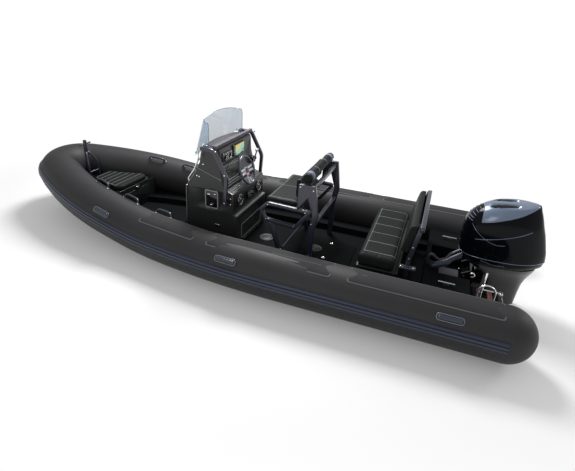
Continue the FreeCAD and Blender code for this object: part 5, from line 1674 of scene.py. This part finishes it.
# louvre slats at the front shoulder, their slate colour a painted glint
slats = []
for k in range(5):
    h = 0.985 + 0.03 * k
    slats.append(cowlLine([(h, 8), (h - 0.004, 20), (h - 0.01, 34 - 2 * k)], 0.0045))
makePiece("cowlSlats", twoSides(slats), "slate", body="outboard")
clampBolts = [(x, 0.1502, z)
    for x, z in ((0.03, 0.2), (0.05, 0.285), (0.0, 0.235), (-0.012, 0.13), (-0.012, 0.0), (0.045, 0.225))]
clampParts = bolts(clampBolts, across, 0.013, 0.01)
clampKnob = [(0.03, 0), (0.03, 0.01), (0.022, 0.016), (0.01, 0.017)]
clampParts.append(lathe(clampKnob, (-0.035, 0.15, 0.33), across, 28))
clampParts = twoSides(clampParts)
clampParts += bolts([(0.063 + 0.0155, y, 0.21) for y in (-0.142, 0.142)], foreAft, 0.012, 0.009)
makePiece("clampBolts", clampParts, "chrome")
well = [block((0.11, 0.05, 0.1605), (0.31, 0.27, 0.275), 0.012, "xy", 0.02),
    block((0.105, 0.045, 0.275), (0.315, 0.275, 0.29), 0.005, "xy", 0.022)]
makePiece("wellBox", well, "brow")


def hose(name, points, radius, finish, scale=None):
    # a fixed hose from the bulkhead to the engine
    path = smoothPath(points, 8)
    sizes = None if scale is None else np.interp(np.linspace(0, 1, len(path)), *scale)
    made = makePiece(name, [rod(path, radius, 14, across, scale=sizes)], finish, body=None)
    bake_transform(made)


hose("riggingHose", [(0.478, 0.17, 0.4), (0.455, 0.165, 0.47), (0.415, 0.155, 0.47), (0.375, 0.145, 0.435),
    (0.33, 0.135, 0.415), (0.28, 0.12, 0.44), (0.235, 0.105, 0.5), (0.15, 0.085, 0.56)], 0.018, "frame")
hose("riggingSleeve", [(0.425, 0.235, 0.372), (0.385, 0.225, 0.385),
    (0.33, 0.205, 0.402), (0.27, 0.18, 0.425), (0.215, 0.15, 0.47), (0.12, 0.11, 0.54)], 0.04, "strake",
    ((0, 0.12, 0.25, 0.6, 0.85, 1), (0.45, 0.8, 1, 1, 0.7, 0.5)))
for k in range(3):
    hose("cable" + str(k), [(0.47, 0.1 + 0.05 * k, 0.375), (0.42, 0.12 + 0.05 * k, 0.372 + 0.01 * k),
        (0.34, 0.13 + 0.03 * k, 0.368), (0.25, 0.11 + 0.03 * k, 0.405 + 0.01 * k),
        (0.11, 0.05 + 0.02 * k, 0.478)], 0.006, "band")
arch = [(-0.112 + 0.078 * math.cos(a), 0.755, 0.5 + 0.078 * math.sin(a))
    for a in np.linspace(0, math.pi, 21)]
hoop = [(-0.034, 0.755, 0.301)] + arch + [(-0.19, 0.755, 0.301)]
makePiece("platformHoop", [rod(hoop, 0.011, 14, across),
    lathe([(0.01, 0), (0.01, 0.38), (0.007, 0.386)], (-0.075, 0.7, 0.302), upright, 18)], "chrome",
    sharp=45)
print("stern dressed")

# finishes of the CAD nodes whose shapes stay
clothe("cockpit_liner aft_deck swim_platforms foredeck", "deck")
clothe("console_door side_hatch", "console")
clothe("cleats stern_eyes bow_eye ladder_hinges", "steel")
clothe("clamp_bracket swivel_bracket", "gloss")
